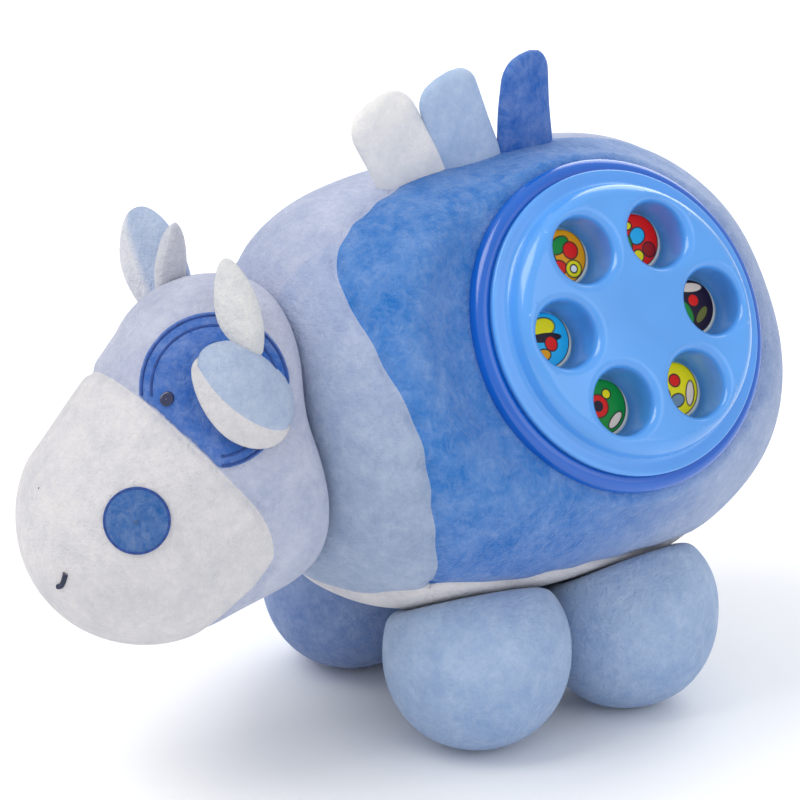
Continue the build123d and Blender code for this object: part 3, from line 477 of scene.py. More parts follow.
def leg_field(place):
    """A round leg at a place: an egg that is squarer above its widest height than below."""
    shift = LEG_SHIFT * np.sign(place[1] - LEG_MIDDLE_Y)
    centre = np.array([place[0], place[1] - shift, LEG_CENTRE_HEIGHT])

    def field(p):
        q = p - centre
        low = q[:, 2] < 0
        half = np.where(low, LEG_HALF_BELOW, LEG_HALF_ABOVE)
        power = np.where(low, LEG_POWER_BELOW, LEG_POWER_ABOVE)
        wide = np.hypot(q[:, 0], q[:, 1]) / LEG_RADIUS
        f = ((wide**power + np.abs(q[:, 2] / half) ** power) ** (1 / power) - 1) * LEG_RADIUS
        f -= ripple(p, 30, 0.5, int(abs(place[0] + 3 * place[1])))
        return soft_max(f, -torso_field(p) + CLEAR_OF_TORSO, 4)

    return field


# ---------------------------------------------------------------- casting skins
def cast(field, start, ways, reach, steps=34):
    """How far along each way the field turns from inside to outside."""
    near, far = np.zeros(len(ways)), np.full(len(ways), float(reach))
    for _ in range(steps):
        middle = (near + far) / 2
        inside = field(start + ways * middle[:, None]) < 0
        near, far = np.where(inside, middle, near), np.where(inside, far, middle)
    return start + ways * near[:, None]


def sphere_ways(rings, columns, pole, first):
    """Directions on a grid of rings about a pole, as (ring, place on ring)."""
    side = np.cross(pole, first)
    slopes = (np.arange(rings) + 0.5) / rings * math.pi
    rounds = evenly_round(columns)
    s, r = np.meshgrid(slopes, rounds, indexing="ij")
    return (
        np.cos(s)[..., None] * pole
        + (np.sin(s) * np.cos(r))[..., None] * first
        + (np.sin(s) * np.sin(r))[..., None] * side
    )


def cut(points, faces, values):
    """Splits the faces that a seam crosses, exactly along it. Values are positive on one side of the seam."""
    points, faces = list(points), [tuple(f) for f in faces]
    signs = values[np.array([f[:4] if len(f) > 3 else (*f, f[0]) for f in faces])] > 0
    whole = signs.all(axis=1) | (~signs).all(axis=1)
    out, made = [], {}
    for face, single in zip(faces, whole):
        if single and len(face) <= 4:
            out.append(face)
            continue
        sides = ([], [])
        for a, b in zip(face, face[1:] + face[:1]):
            up_a, up_b = (a >= len(values) or values[a] > 0), (b >= len(values) or values[b] > 0)
            sides[int(up_a)].append(a)
            if up_a == up_b:
                continue
            key = (min(a, b), max(a, b))
            if key not in made:
                low, high = key
                share = values[low] / (values[low] - values[high])
                made[key] = len(points)
                points.append(points[low] + share * (points[high] - points[low]))
            sides[0].append(made[key])
            sides[1].append(made[key])
        out += [tuple(side) for side in sides if len(side) > 2]
    return np.array(points), out


def face_middles(points, faces):
    return np.array([points[list(f)].mean(axis=0) for f in faces])


def grid_faces(rings, columns):
    """Quads between the rings of a grid that closes on itself."""
    index = np.arange(rings * columns).reshape(rings, columns)
    after = np.roll(index, -1, 1)
    return np.stack([index[:-1], after[:-1], after[1:], index[1:]], axis=-1).reshape(-1, 4)


def keep_faces(faces, keep):
    """The faces chosen by 'keep', numbered afresh, and the points that they use."""
    chosen = [face for face, kept in zip(faces, keep) if kept]
    used = sorted({index for face in chosen for index in face})
    place = {index: number for number, index in enumerate(used)}
    return used, [[place[index] for index in face] for face in chosen]


def blend_colours(*pairs):
    """Colours weighted by position: each pair is a colour and its weight at every point."""
    total = sum(weight for _, weight in pairs)
    return sum(np.array(colour[:3])[None, :] * (weight / total)[:, None] for colour, weight in pairs)


BLUE, DEEP = linear(34, 124, 198), linear(0, 88, 178)
PERI, LAV = linear(136, 160, 198), linear(178, 184, 208)
# the shoulder's blue, and a lighter one that paints light on its top
SHOULDER, SHOULDER_TOP_LIT = linear(154, 170, 196), linear(166, 176, 206)
WHITE = linear(221, 214, 211)
# the crown's blue, and the colour that paints light on its top
HEAD_BLUE, HEAD_TOP_LIT = linear(184, 188, 207), linear(186, 187, 205)


def flank_tint(p):
    """Strong blue that fades to a pale one towards the rump and under the belly; that paler blue is painted
    light, and the deeper blue low at the front is painted shade.
    """
    low = np.clip((90 - p[:, 2]) / 40, 0, 1)
    rear = np.clip((p[:, 1] - 10) / 60, 0, 1)
    under = np.clip((100 - p[:, 2]) / 45, 0, 1) * np.clip((p[:, 1] + 10) / 50, 0, 1)
    # painted light: the blue pales towards the rump and the lower rear; the deeper blue low at the front is
    # painted shade
    painted_light_fade = np.clip(0.9 * rear + 0.75 * under, 0, 1)
    tones = blend_colours((BLUE, np.full(len(p), 0.8)), (DEEP, 0.25 + 0.8 * low * (1 - rear)))
    pale = blend_colours((PERI, np.full(len(p), 0.9)), (LAV, 0.2 + 0.5 * rear))
    return tones * (1 - painted_light_fade[:, None]) + pale * painted_light_fade[:, None]


def shoulder_tint(p):
    # lighter towards the top: painted light on the one shoulder fabric
    high = np.clip((p[:, 2] - 105) / 45, 0, 1)
    return blend_colours((SHOULDER, 1.05 - high), (SHOULDER_TOP_LIT, 0.05 + high))


PILE = velour("velour")
RIBBON = velour("ribbon_weave", pile=0.4)
NAVY = thread("thread_navy", linear(24, 66, 140))
DARK = thread("thread_dark", linear(22, 34, 66))
FINE = 1.0


def make_panels(points, faces, panels):
    """Sewn panels cut from one skin: each is a name, which faces it takes, its tint, CAD nodes and slot; the
    slot is not used.
    """
    for name, keep, tint, nodes, slot in panels:
        used, local = keep_faces(faces, keep)
        tint = tint(points[used]) if callable(tint) else tint
        piece = mesh_piece(name, points[used], local, PILE, PLUSH, nodes, tint)


def make_torso():
    rings, columns = int(420 * FINE), int(520 * FINE)
    ways = sphere_ways(rings, columns, Y, -X)
    points = cast(torso_skin, TORSO_MIDDLE, ways.reshape(-1, 3), 130)
    faces = grid_faces(rings, columns)
    for seam in (belly_seam, flank_edge, lambda p: near_unit(p)[1] - OPENING_RADIUS, nape_line):
        points, faces = cut(points, faces, seam(points))
    middle = face_middles(points, faces)
    height, reach = near_unit(middle)
    outside = ~((reach < OPENING_RADIUS) & (height > -OPENING_DEPTH))
    below = outside & (belly_seam(middle) < 0)
    above = outside & ~(belly_seam(middle) < 0)
    blue = flank_edge(middle) > 0
    left = nape_line(middle) > 0
    shoulder = above & ~blue & left
    panels = (
        ("belly_skin", below, WHITE, ("belly_panel", "torso_stuffing"), "plush_white"),
        ("flank_skin_left", above & blue, flank_tint, ("flank_panel_left",), "plush_blue"),
        ("shoulder_skin_left", shoulder, shoulder_tint, ("shoulder_panel_left",), "plush_periwinkle"),
        ("flank_skin_right", above & ~blue & ~left, LAV, ("flank_panel_right",), "plush_lavender"),
    )
    make_panels(points, faces, panels)


def head_tint(p):
    # lavender towards the top of the crown: painted light on the one crown fabric
    high = np.clip((p[:, 2] - 100) / 40, 0, 1)
    return blend_colours((HEAD_BLUE, 1.05 - high), (HEAD_TOP_LIT, 0.05 + high))


def make_head():
    rings, columns = int(300 * FINE), int(420 * FINE)
    ways = sphere_ways(rings, columns, Y, Z)
    points = cast(head_skin, HEAD_MIDDLE, ways.reshape(-1, 3), 90)
    points, faces = cut(points, grid_faces(rings, columns), mask_edge(points))
    white = mask_edge(face_middles(points, faces)) > 0
    panels = (
        ("muzzle_skin", white, WHITE, ("muzzle_panel", "head_stuffing"), "plush_white"),
        ("crown_skin", ~white, head_tint, ("crown_panel",), "plush_periwinkle"),
    )
    make_panels(points, faces, panels)


LEG_TINT, LEG_DEEP = linear(166, 188, 216), linear(104, 142, 192)
FAR_LEG_SHADE = np.array([[0.52, 0.6, 0.8]])
LEG_START_HEIGHT = 24.0  # inside the leg, where its skin is cast from


def leg_tint(p):
    """Pale blue, deeper towards the sole; the legs of the right side are darker with painted shade."""
    low = np.clip((45 - p[:, 2]) / 40, 0, 1) * 0.55
    shade = np.where(p[:, :1] < 0, FAR_LEG_SHADE, 1.0)
    return blend_colours((LEG_TINT, 1.05 - low), (LEG_DEEP, 0.05 + low)) * shade


def make_legs():
    rings, columns = int(150 * FINE), int(220 * FINE)
    ways = sphere_ways(rings, columns, Z, X).reshape(-1, 3)
    faces = grid_faces(rings, columns)
    for node, place in zip(LEGS, leg_places):
        start = np.array([place[0], place[1], LEG_START_HEIGHT])
        points = cast(leg_field(place), start, ways, 60)
        points[:, 2] = np.maximum(points[:, 2], 0.0)
        name = node.replace("leg_cover", "leg_skin")
        nodes = (node, node.replace("cover", "stuffing"))
        piece = mesh_piece(name, points, faces, PILE, PLUSH, nodes, leg_tint(points))


# ---------------------------------------------------------------- face
def aimed(side, degrees_round, degrees_up):
    """Where a patch looks: its way out of the head, and two ways across it."""
    around, rise = math.radians(degrees_round), math.radians(degrees_up)
    level = np.array([side * math.sin(around), -math.cos(around), 0.0])
    look = level * math.cos(rise) + Z * math.sin(rise)
    across = unit(np.cross(Z, look))
    return look, across, np.cross(look, across)


def land(centre, aim, a, b, lift):
    """Points of a patch: places across it, dropped on the head from outside."""
    look, across, high = aim
    start = centre + look * 90 + across * a[:, None] + high * b[:, None]
    near, far = np.zeros(len(a)), np.full(len(a), 90.0)
    for _ in range(30):
        middle = (near + far) / 2
        outside = head_skin(start - look * middle[:, None]) > 0
        near, far = np.where(outside, middle, near), np.where(outside, far, middle)
    return start - look * (near - lift)[:, None]


PATCH_POINTS = 120
PATCH_SHARES = np.array([0.02, 0.2, 0.4, 0.6, 0.75, 0.86, 0.93, 0.97, 1.0, 1.0])
PATCH_RISES = np.array([1, 1, 1, 1, 1, 1, 0.95, 0.8, 0.45, -0.5])  # in shares of the thickness


def patch(name, centre, side, aim, radius, thickness, tint, nodes, clip_mask=False, material=None):
    """A round applique that follows the head, domed at the edge; returns its aim and its outline."""
    aim = aimed(side, *aim)
    turns = evenly_round(PATCH_POINTS)
    limit = np.full(PATCH_POINTS, float(radius))
    if clip_mask:
        level = np.zeros(PATCH_POINTS)
        for _ in range(40):
            edge = land(centre, aim, limit * np.cos(turns), limit * np.sin(turns), level)
            limit = np.where(mask_edge(edge) > -0.3, limit - 0.5, limit)
    a = (PATCH_SHARES[:, None] * limit * np.cos(turns)).ravel()
    b = (PATCH_SHARES[:, None] * limit * np.sin(turns)).ravel()
    points = land(centre, aim, a, b, np.repeat(thickness * PATCH_RISES, PATCH_POINTS))
    faces = grid_faces(len(PATCH_SHARES), PATCH_POINTS)[:, ::-1].tolist()
    faces.append(list(range(PATCH_POINTS - 1, -1, -1)))
    mesh_piece(name, points, faces, material or PILE, PLUSH, nodes, np.array(tint))
    return aim, limit, turns


def uncut_run(limit, radius):
    """The places round a patch that its seam hasn't cut short, in order from the end of the cut."""
    whole = np.flatnonzero(limit > radius - 0.1)
    first = 0
    if len(whole) < PATCH_POINTS:
        gaps = np.diff(np.append(whole, whole[0] + PATCH_POINTS))
        first = whole[np.argmax(gaps)] + 1
    around = [(k + first) % PATCH_POINTS for k in range(PATCH_POINTS)]
    return [k for k in around if limit[k] > radius - 0.1]


SIDES = ((1, "left"), (-1, "right"))
HEAD_TURN = 7.5  # degrees that the face looks to its left
DARK_BLUE = linear(8, 20, 66)
# degrees round the head from straight ahead, degrees up, and radius; the right ones sit further round
EYE_PATCHES = {"left": ((62, 14), 21.5), "right": ((96, 14), 17.0)}
EYE_BEADS = {"left": (38, 10), "right": (66, 10)}
EYE_BEAD_RADIUS, EYE_BEAD_RISE = 2.0, 1.6
NOSTRIL_ROUND, NOSTRIL_UP, NOSTRIL_RADIUS = 64.5, 20, 9.4
MOUTH_OUT, MOUTH_LENGTH, MOUTH_CURL, MOUTH_DOWN, RIGHT_MOUTH_SHIFT = 10.5, 4.2, 5.5, 10.5, 12.0


def make_eye_patch(side, word):
    """A blue patch cut off by the mask's seam, with two rows of stitches round it."""
    aim, radius = EYE_PATCHES[word]
    name, nodes = f"eye_patch_piece_{word}", (f"eye_patch_{word}",)
    blue = linear(0, 92, 178)
    aim, limit, turns = patch(name, CROWN, side, aim, radius, 0.9, blue, nodes, True)
    run = uncut_run(limit, radius)
    for ring, share in enumerate((0.965, 0.84)):
        a, b = share * radius * np.cos(turns[run]), share * radius * np.sin(turns[run])
        line = land(CROWN, aim, a, b, np.full(len(run), 0.85))
        tube_piece(f"eye_patch_stitch_{word}_{ring}", line, 0.42, NAVY, PLUSH)


def make_nostril(side, word):
    """A round patch with a thread round its edge."""
    aim = (NOSTRIL_ROUND - side * HEAD_TURN, NOSTRIL_UP)
    name, nodes = f"nostril_piece_{word}", (f"nostril_{word}",)
    blue = linear(8, 90, 158)
    aim, limit, turns = patch(name, MUZZLE, side, aim, NOSTRIL_RADIUS, 0.8, blue, nodes)
    a, b = 0.97 * limit * np.cos(turns), 0.97 * limit * np.sin(turns)
    line = land(MUZZLE, aim, a, b, np.full(PATCH_POINTS, 0.5))
    tube_piece(f"nostril_stitch_{word}", line, 0.45, NAVY, PLUSH, cyclic=True)


def make_face():
    for side, word in SIDES:
        make_eye_patch(side, word)
        make_nostril(side, word)
    bend = np.linspace(0, 1, 16)
    ahead = aimed(1, 0, 0)
    for side, word in SIDES:
        a = side * (MOUTH_OUT + MOUTH_LENGTH * bend) - (0.0 if side > 0 else RIGHT_MOUTH_SHIFT)
        b = MOUTH_CURL * bend**2 - MOUTH_DOWN
        line = land(MUZZLE, ahead, a, b, np.full(16, 0.1))
        nodes = ("mouth_stitch",) if side > 0 else ()
        tube_piece(f"mouth_thread_{word}", line, 0.8, DARK, PLUSH, nodes)


def make_eyes():
    shine = plastic("eye_bead", DARK_BLUE, 0.08, 1.0)
    for side, word in SIDES:
        patch(f"eye_bead_{word}", CROWN, side, EYE_BEADS[word], EYE_BEAD_RADIUS, EYE_BEAD_RISE, DARK_BLUE,
              (f"eye_{word}",), material=shine)


# ---------------------------------------------------------------- ears, horns, tabs, tail
def leaf(name, middle, along, face, size, tints, nodes, slots, point=0.75, curl=0.0):
    """A stuffed leaf in two layers that meet in a pinched seam; the front layer looks along 'face'.

    Its size is length, width and thickness. Each layer has a tint, CAD nodes and a slot, which is not used; a
    tint is a colour, or a function of how far across the leaf a point is, from -1 to 1.
    """
    length, width, thick = size
    along = unit(along)
    face = unit(np.asarray(face) - along * (np.asarray(face) @ along))
    across = np.cross(face, along)
    count, rings = 96, 22
    turns = evenly_round(count)
    taper = 1 - (1 - point) * np.clip(np.cos(turns), 0, 1) ** 1.5
    shares = np.sin(np.linspace(0.03, 1, rings) * math.pi / 2)
    a = shares[:, None] * (np.cos(turns) * length / 2)
    b = shares[:, None] * (np.sin(turns) * width / 2 * taper)
    bend = curl * ((a / (length / 2)) ** 2 * 0.6 + (b / (width / 2)) ** 2)
    puff = thick / 2 * (1 - shares**2) ** 0.6
    for word, sign, tint, node, slot in zip(("front", "back"), (1, -1), tints, nodes, slots):
        h = sign * (puff[:, None] - 0.12) + bend
        points = middle + a[..., None] * along + b[..., None] * across + h[..., None] * face
        points = points.reshape(-1, 3)
        points = points + face * ripple(points, 14, 0.5, 11)[:, None]
        tint = tint(b.ravel() / (width / 2)) if callable(tint) else np.array(tint)
        faces = grid_faces(rings, count)[:, ::-sign].tolist()
        faces.append(list(range(count))[::sign])
        piece = mesh_piece(f"{name}_{word}", points, faces, PILE, PLUSH, node, tint)


EAR_MIDDLE = np.array([32.0, -103.8, 127.0])
EAR_ALONG, EAR_FACE = unit([-0.2, -0.75, 0.62]), unit([0.74, 0.0, 0.67])
EAR_BLUE = linear(172, 186, 209)
# the white of the right ear's lining, and the blue that paints shade in its fold
RIGHT_EAR_EDGE, RIGHT_EAR_FOLD_SHADE = linear(226, 222, 222), linear(170, 184, 208)
RIGHT_EAR_BACK = linear(170, 188, 222)
HORN_SIZE = (32, 13, 9.5)
# the right horn's greyer white is painted shade on the far side of the head
HORNS = ((21.0, 146.5, linear(226, 222, 216)), (-17.0, 149.0, linear(206, 203, 206)))  # x, z, colour


def lining_with_fold_shade(share):
    """White along one edge of the right ear's lining; the blue across the rest is painted shade in the
    lining's fold.
    """
    edge = np.clip((share - 0.2) / 0.25, 0, 1)
    return blend_colours((RIGHT_EAR_EDGE, 0.02 + edge), (RIGHT_EAR_FOLD_SHADE, 1.02 - edge))


def make_ears_and_horns():
    """The left ear hangs folded, blue side out over its white lining; the right one stands."""
    down = np.cross(EAR_FACE, EAR_ALONG)
    lining_at = EAR_MIDDLE + down * 0.4 - EAR_ALONG * 0.2 - EAR_FACE * 1.8
    back_at = EAR_MIDDLE - down * 2.8 - EAR_ALONG * 0.7 + EAR_FACE * 0.5
    white, blue = ("plush_white",) * 2, ("plush_periwinkle",) * 2
    leaf("ear_left_lining", lining_at, EAR_ALONG, EAR_FACE, (36, 28, 9), (WHITE, WHITE),
         (("ear_lining_left",), ()), white, point=0.72, curl=-1.0)
    leaf("ear_left_back", back_at, EAR_ALONG, EAR_FACE, (35, 28, 9), (EAR_BLUE, EAR_BLUE),
         (("ear_left",), ()), blue, point=0.72, curl=-2.5)
    leaf("ear_right", np.array([-34.5, -92.0, 143.0]), (-0.42, -0.12, 0.87), (0.25, -0.95, -0.18),
         (38, 30, 9), (lining_with_fold_shade, RIGHT_EAR_BACK), (("ear_lining_right",), ("ear_right",)),
         ("plush_white", "plush_periwinkle"), point=1.0, curl=3.0)
    for (side, word), (out, height, tint) in zip(SIDES, HORNS):
        leaf(f"horn_{word}", np.array([out, -99.0, height]), (side * -0.30, -0.10, 1.0),
             (side * 0.8, -0.6, 0), HORN_SIZE, (tint, tint), ((f"horn_{word}",), ()), white, point=0.8)


def strap(name, base, lean, width, height, thick, tint, node, bend=0.0, twist=0.0):
    """A doubled strap standing on the back seam: flat, soft-edged, with a round top."""
    rings, count = 40, 48
    rise = np.linspace(-6, height, rings)
    turns = evenly_round(count)
    corner = width * 0.36
    over = np.clip((rise - (height - corner)) / corner, 0, 0.999)
    half = width / 2 - corner + corner * np.sqrt(1 - over**2)
    depth = thick / 2 * np.minimum(1, 0.25 + 0.75 * np.sqrt(1 - over**2))
    c, s = np.cos(turns), np.sin(turns)
    y = half[:, None] * np.sign(c) * np.abs(c) ** 0.55
    x = depth[:, None] * np.sign(s) * np.abs(s) ** 0.8
    share = np.clip(rise / height, 0, 1)
    angle = twist * share[:, None]
    x, y = x * np.cos(angle) - y * np.sin(angle), x * np.sin(angle) + y * np.cos(angle)
    x = x + bend * (share**2)[:, None]
    z = np.repeat(rise[:, None], count, 1)
    c, s = math.cos(math.radians(lean)), math.sin(math.radians(lean))
    points = np.stack([x, y * c - z * s, y * s + z * c], axis=-1)
    points = points.reshape(-1, 3) + base
    points += X * ripple(points, 18, 0.5, 21)[:, None]
    ends = [list(range(count - 1, -1, -1)), list(range((rings - 1) * count, rings * count))]
    faces = [*grid_faces(rings, count).tolist(), *ends]
    piece = mesh_piece(name, points, faces, RIBBON, PLUSH, node, np.array(tint))


# each tab: its word, where its foot stands (y, z), lean in degrees, width, height, colour, bend and twist
TABS = (
    ("white", (-26.0, 167.0), 27, 22.5, 29.5, linear(240, 234, 228), -2, 0.0),
    ("light_blue", (-5.0, 168.0), 22, 20.5, 32.5, linear(176, 196, 222), 1, 0.0),
    ("blue", (13.5, 169.0), 3, 20.0, 32.0, linear(0, 98, 184), 2, 0.35),
)
TAB_THICK = 4.6
TAIL_RADIUS, TAIL_SUNK, TAIL_OUT, TAIL_TOP, TAIL_LENGTH = 5.2, 5, 10, 130, 44


def make_tail():
    """A limp tail lying down the rump."""
    rings, count = 30, 32
    s = np.linspace(0.001, 0.999, rings)
    radius = TAIL_RADIUS * np.sqrt(1 - (2 * s - 1) ** 8) * (0.8 + 0.25 * s)
    rump = TORSO_MIDDLE[1] + TORSO_HALF
    spine = np.stack([0 * s, rump - TAIL_SUNK + TAIL_OUT * np.sqrt(s), TAIL_TOP - TAIL_LENGTH * s], axis=-1)
    turns = evenly_round(count)
    ring = np.stack([np.cos(turns), np.sin(turns), 0 * turns], axis=-1)
    points = (spine[:, None, :] + radius[:, None, None] * ring).reshape(-1, 3)
    ends = [list(range(count)), list(range((rings - 1) * count, rings * count))[::-1]]
    faces = [*grid_faces(rings, count)[:, ::-1].tolist(), *ends]
    piece = mesh_piece("tail_skin", points, faces, PILE, PLUSH, ("tail",), np.array(PERI))


def make_back():
    for word, (y, z), lean, width, height, colour, bend, twist in TABS:
        strap(f"tab_{word}", np.array([0, y, z]), lean, width, height, TAB_THICK, colour,
              (f"back_tab_{word}",), bend, twist)
    make_tail()


# ---------------------------------------------------------------- music unit
def placed(u, v, w):
    return UNIT_CENTRE + np.multiply.outer(u, U) + np.multiply.outer(v, V) + np.multiply.outer(w, N)


def turned(profile, count, u=0.0, v=0.0):
    """Points and faces of a profile of (radius, height) turned about the unit's axis."""
    turns = evenly_round(count)
    r, w = np.array([p[0] for p in profile]), np.array([p[1] for p in profile])
    across, along = (u + r[:, None] * np.cos(turns)).ravel(), (v + r[:, None] * np.sin(turns)).ravel()
    return placed(across, along, np.repeat(w, count)), grid_faces(len(profile), count)[:, ::-1]


def arc(cu, cw, radius, start, end, count=8):
    """A round stretch of a profile, from one angle to another in degrees."""
    angles = [math.radians(t) for t in np.linspace(start, end, count)]
    return [(cu + radius * math.cos(t), cw + radius * math.sin(t)) for t in angles]


# heights are above the ring's seat; radii are from the unit's axis
FLANGE_TOP, FLANGE_BOTTOM, FLANGE_EDGE = 8.7, 6.7, 0.7
PLATE_RADIUS, FLANGE_FLAT_RADIUS, UNDER_RADIUS = 45.8, 44.2, 40.0
SHOULDER_H, TOP_H, TOP_R, FOOT_R, FOOT_BEND = 16.5, 17.5, 35.6, 40.8, 1.8
DROP = 6.0
FACE_RADIUS, FACE_STEP, FACE_GRID = 39.45, 1.2, 35.4
FACE_RINGS = (36.2, 37.0, 37.8, 38.6)
FACE_POINTS, WELL_POINTS = 300, 112
WELL_PITCH, WELL_OPEN, WELL_FLOOR, WELL_WALL, LIP = 26.3, 13.05, 2.5, 9.9, 2.9
WALL_HEIGHT, WALL_DRAFT, FLOOR_BEND = 10.2, 0.3, 1.0
BUTTON_HOLE, HOLE_DEPTH = 8.9, 1.6


def dome(r):
    """Height of the face above the ring's seat at a distance from the unit's axis."""
    top = TOP_H - (TOP_H - SHOULDER_H) * (r / TOP_R) ** 2
    t = np.clip((r - TOP_R) / (FOOT_R - TOP_R), 0, 1)
    return np.where(r < TOP_R, top, SHOULDER_H - DROP * (1 - np.sqrt(1 - t**2.2)))


def well_centres():
    return [(WELL_PITCH * math.cos(a), WELL_PITCH * math.sin(a)) for a in (TAU * k / 6 for k in range(6))]


def circle_places(radius, count, cu=0.0, cv=0.0):
    angles = [TAU * k / count for k in range(count)]
    return [(cu + radius * math.cos(a), cv + radius * math.sin(a)) for a in angles]


def loop_edges(first, count):
    """Edges that close a run of points into a loop."""
    return [(first + k, first + (k + 1) % count) for k in range(count)]


def plate_face():
    """The domed face as places across it and triangles, open where the six wells are."""
    wells = well_centres()
    outline, loops = [], []
    for cu, cv in wells:
        loops += loop_edges(len(outline), WELL_POINTS)
        outline += circle_places(WELL_OPEN, WELL_POINTS, cu, cv)
    loops += loop_edges(len(outline), FACE_POINTS)
    outline += circle_places(FACE_RADIUS, FACE_POINTS)
    inner = [place for radius in FACE_RINGS for place in circle_places(radius, FACE_POINTS)]
    steps = np.arange(-36, 36.1, FACE_STEP)
    inner += [(x, y) for x in steps for y in steps if math.hypot(x, y) < FACE_GRID]
    for x, y in inner:
        if all(math.hypot(x - cu, y - cv) > WELL_OPEN + 0.25 for cu, cv in wells):
            outline.append((x, y))
    verts, _, triangles, *_ = geometry.delaunay_2d_cdt([Vector(p) for p in outline], loops, [], 0, 1e-5)
    flat = np.array([(p.x, p.y) for p in verts])
    middles = np.array([flat[list(t)].mean(axis=0) for t in triangles])
    keep = np.hypot(middles[:, 0], middles[:, 1]) < FACE_RADIUS
    for cu, cv in wells:
        keep &= np.hypot(middles[:, 0] - cu, middles[:, 1] - cv) > WELL_OPEN - 0.02
    return flat, [list(t) for t, kept in zip(triangles, keep) if kept]


def well_rings():
    """A well from its opening down: radius, then a height, or None and how far it is below the dome."""
    lip_shares = np.sin(np.linspace(0, 1, 12) * math.pi / 2)
    rings = [(WELL_OPEN, None, 0.0), (WELL_WALL + LIP, None, 0.0)]
    rings += [(WELL_WALL + LIP * (1 - s), None, LIP * (1 - math.sqrt(1 - s * s))) for s in lip_shares[1:]]
    foot = WELL_FLOOR + FLOOR_BEND
    rings += [(WELL_WALL - WALL_DRAFT * s, foot + WALL_HEIGHT * (1 - s), 0) for s in np.linspace(0, 1, 9)[1:]]
    narrow = WELL_WALL - WALL_DRAFT
    for t in np.linspace(0.3, 1.57, 5):
        rings.append((narrow - 0.5 * (1 - math.cos(t)), WELL_FLOOR + FLOOR_BEND * (1 - math.sin(t)), 0))
    return rings + [(BUTTON_HOLE, WELL_FLOOR, 0), (BUTTON_HOLE, WELL_FLOOR - HOLE_DEPTH, 0)]


def plate_edge():
    """The profile from the face's rim down to the flange, round its edge and back under it."""
    edge = [(r, float(dome(np.array([r]))[0])) for r in np.linspace(FACE_RADIUS, FOOT_R - 0.001, 10)]
    edge += arc(FOOT_R + FOOT_BEND, FLANGE_TOP + FOOT_BEND, FOOT_BEND, 180, 270, 8)
    edge += [(FLANGE_FLAT_RADIUS, FLANGE_TOP)]
    edge += arc(PLATE_RADIUS - FLANGE_EDGE, FLANGE_TOP - FLANGE_EDGE, FLANGE_EDGE, 90, 0, 6)
    return edge + [(PLATE_RADIUS, FLANGE_BOTTOM), (UNDER_RADIUS, FLANGE_BOTTOM)]


def make_plate():
    """The face plate; its 'depth' says how far down a well a point is, from 0 to 1, and sets how much painted
    light lightens the wells.
    """
    flat, faces = plate_face()
    points = [placed(flat[:, 0], flat[:, 1], dome(np.hypot(flat[:, 0], flat[:, 1])))]
    depth = [np.zeros(len(flat))]
    total = len(flat)
    rings = well_rings()
    turns = evenly_round(WELL_POINTS)
    for cu, cv in well_centres():
        for r, w, sink in rings:
            u, v = cu + r * np.cos(turns), cv + r * np.sin(turns)
            height = dome(np.hypot(u, v)) - sink if w is None else np.full(WELL_POINTS, float(w))
            points.append(placed(u, v, height))
            depth.append(np.zeros(WELL_POINTS) if w is None else np.clip((12.9 - height) / 9.0, 0, 1))
        faces += (grid_faces(len(rings), WELL_POINTS) + total).tolist()
        total += len(rings) * WELL_POINTS
    strip, strip_faces = turned(plate_edge(), FACE_POINTS)
    points.append(strip)
    depth.append(np.zeros(len(strip)))
    faces += (strip_faces + total).tolist()
    # the second colour paints light into the wells, lighter than the plate
    blue = plastic("plate_blue", linear(84, 156, 232), 0.2, 0.5, linear(124, 194, 255))
    points = np.concatenate(points)
    piece = mesh_piece("face_plate", points, faces, blue, UNIT, ("front_plate",))
    layer = piece.data.attributes.new("depth", "FLOAT", "POINT")
    layer.data.foreach_set("value", np.concatenate(depth))
    weld(piece)


def weld(piece):
    """Joins the points where stretches of a piece meet, and turns all faces outwards."""
    work = bmesh.new()
    work.from_mesh(piece.data)
    bmesh.ops.remove_doubles(work, verts=work.verts, dist=0.00003)
    bmesh.ops.recalc_face_normals(work, faces=work.faces)
    for face in work.faces:
        face.smooth = True
    work.to_mesh(piece.data)
    work.free()
    piece.data.update()


RING_BORE, RING_BORE_TOP, RING_BORE_EDGE = 43.4, 5.4, 1.0
RING_OUTER_BEND, RING_BEND_HEIGHT = 3.3, 3.2


def make_ring():
    """The dark ring round the unit: a square inner edge, a flat band, and a fat round outside."""
    profile = [(RING_BORE, -0.2), (RING_BORE, RING_BORE_TOP)]
    profile += arc(RING_BORE + RING_BORE_EDGE, RING_BORE_TOP, RING_BORE_EDGE, 180, 90, 5) + [(46.2, 6.45)]
    profile += arc(RING_RADIUS - RING_OUTER_BEND, RING_BEND_HEIGHT, RING_OUTER_BEND, 84, 0, 14)
    profile += [(RING_RADIUS, 0.6), (RING_RADIUS - 0.3, -0.8)]
    points, faces = turned(profile, 260)
    blue = plastic("ring_blue", linear(0, 92, 192), 0.22, 0.5)
    piece = mesh_piece("ring", points, faces, blue, PLUSH, ("bezel_ring",))
    weld(piece)


RED, GREEN, YELLOW = linear(244, 22, 12), linear(8, 150, 58), linear(255, 236, 10)
ORANGE, CYAN, DARKINK = linear(255, 172, 10), linear(40, 190, 240), linear(34, 18, 46)
PINK, GREY = linear(250, 226, 200), linear(120, 150, 170)
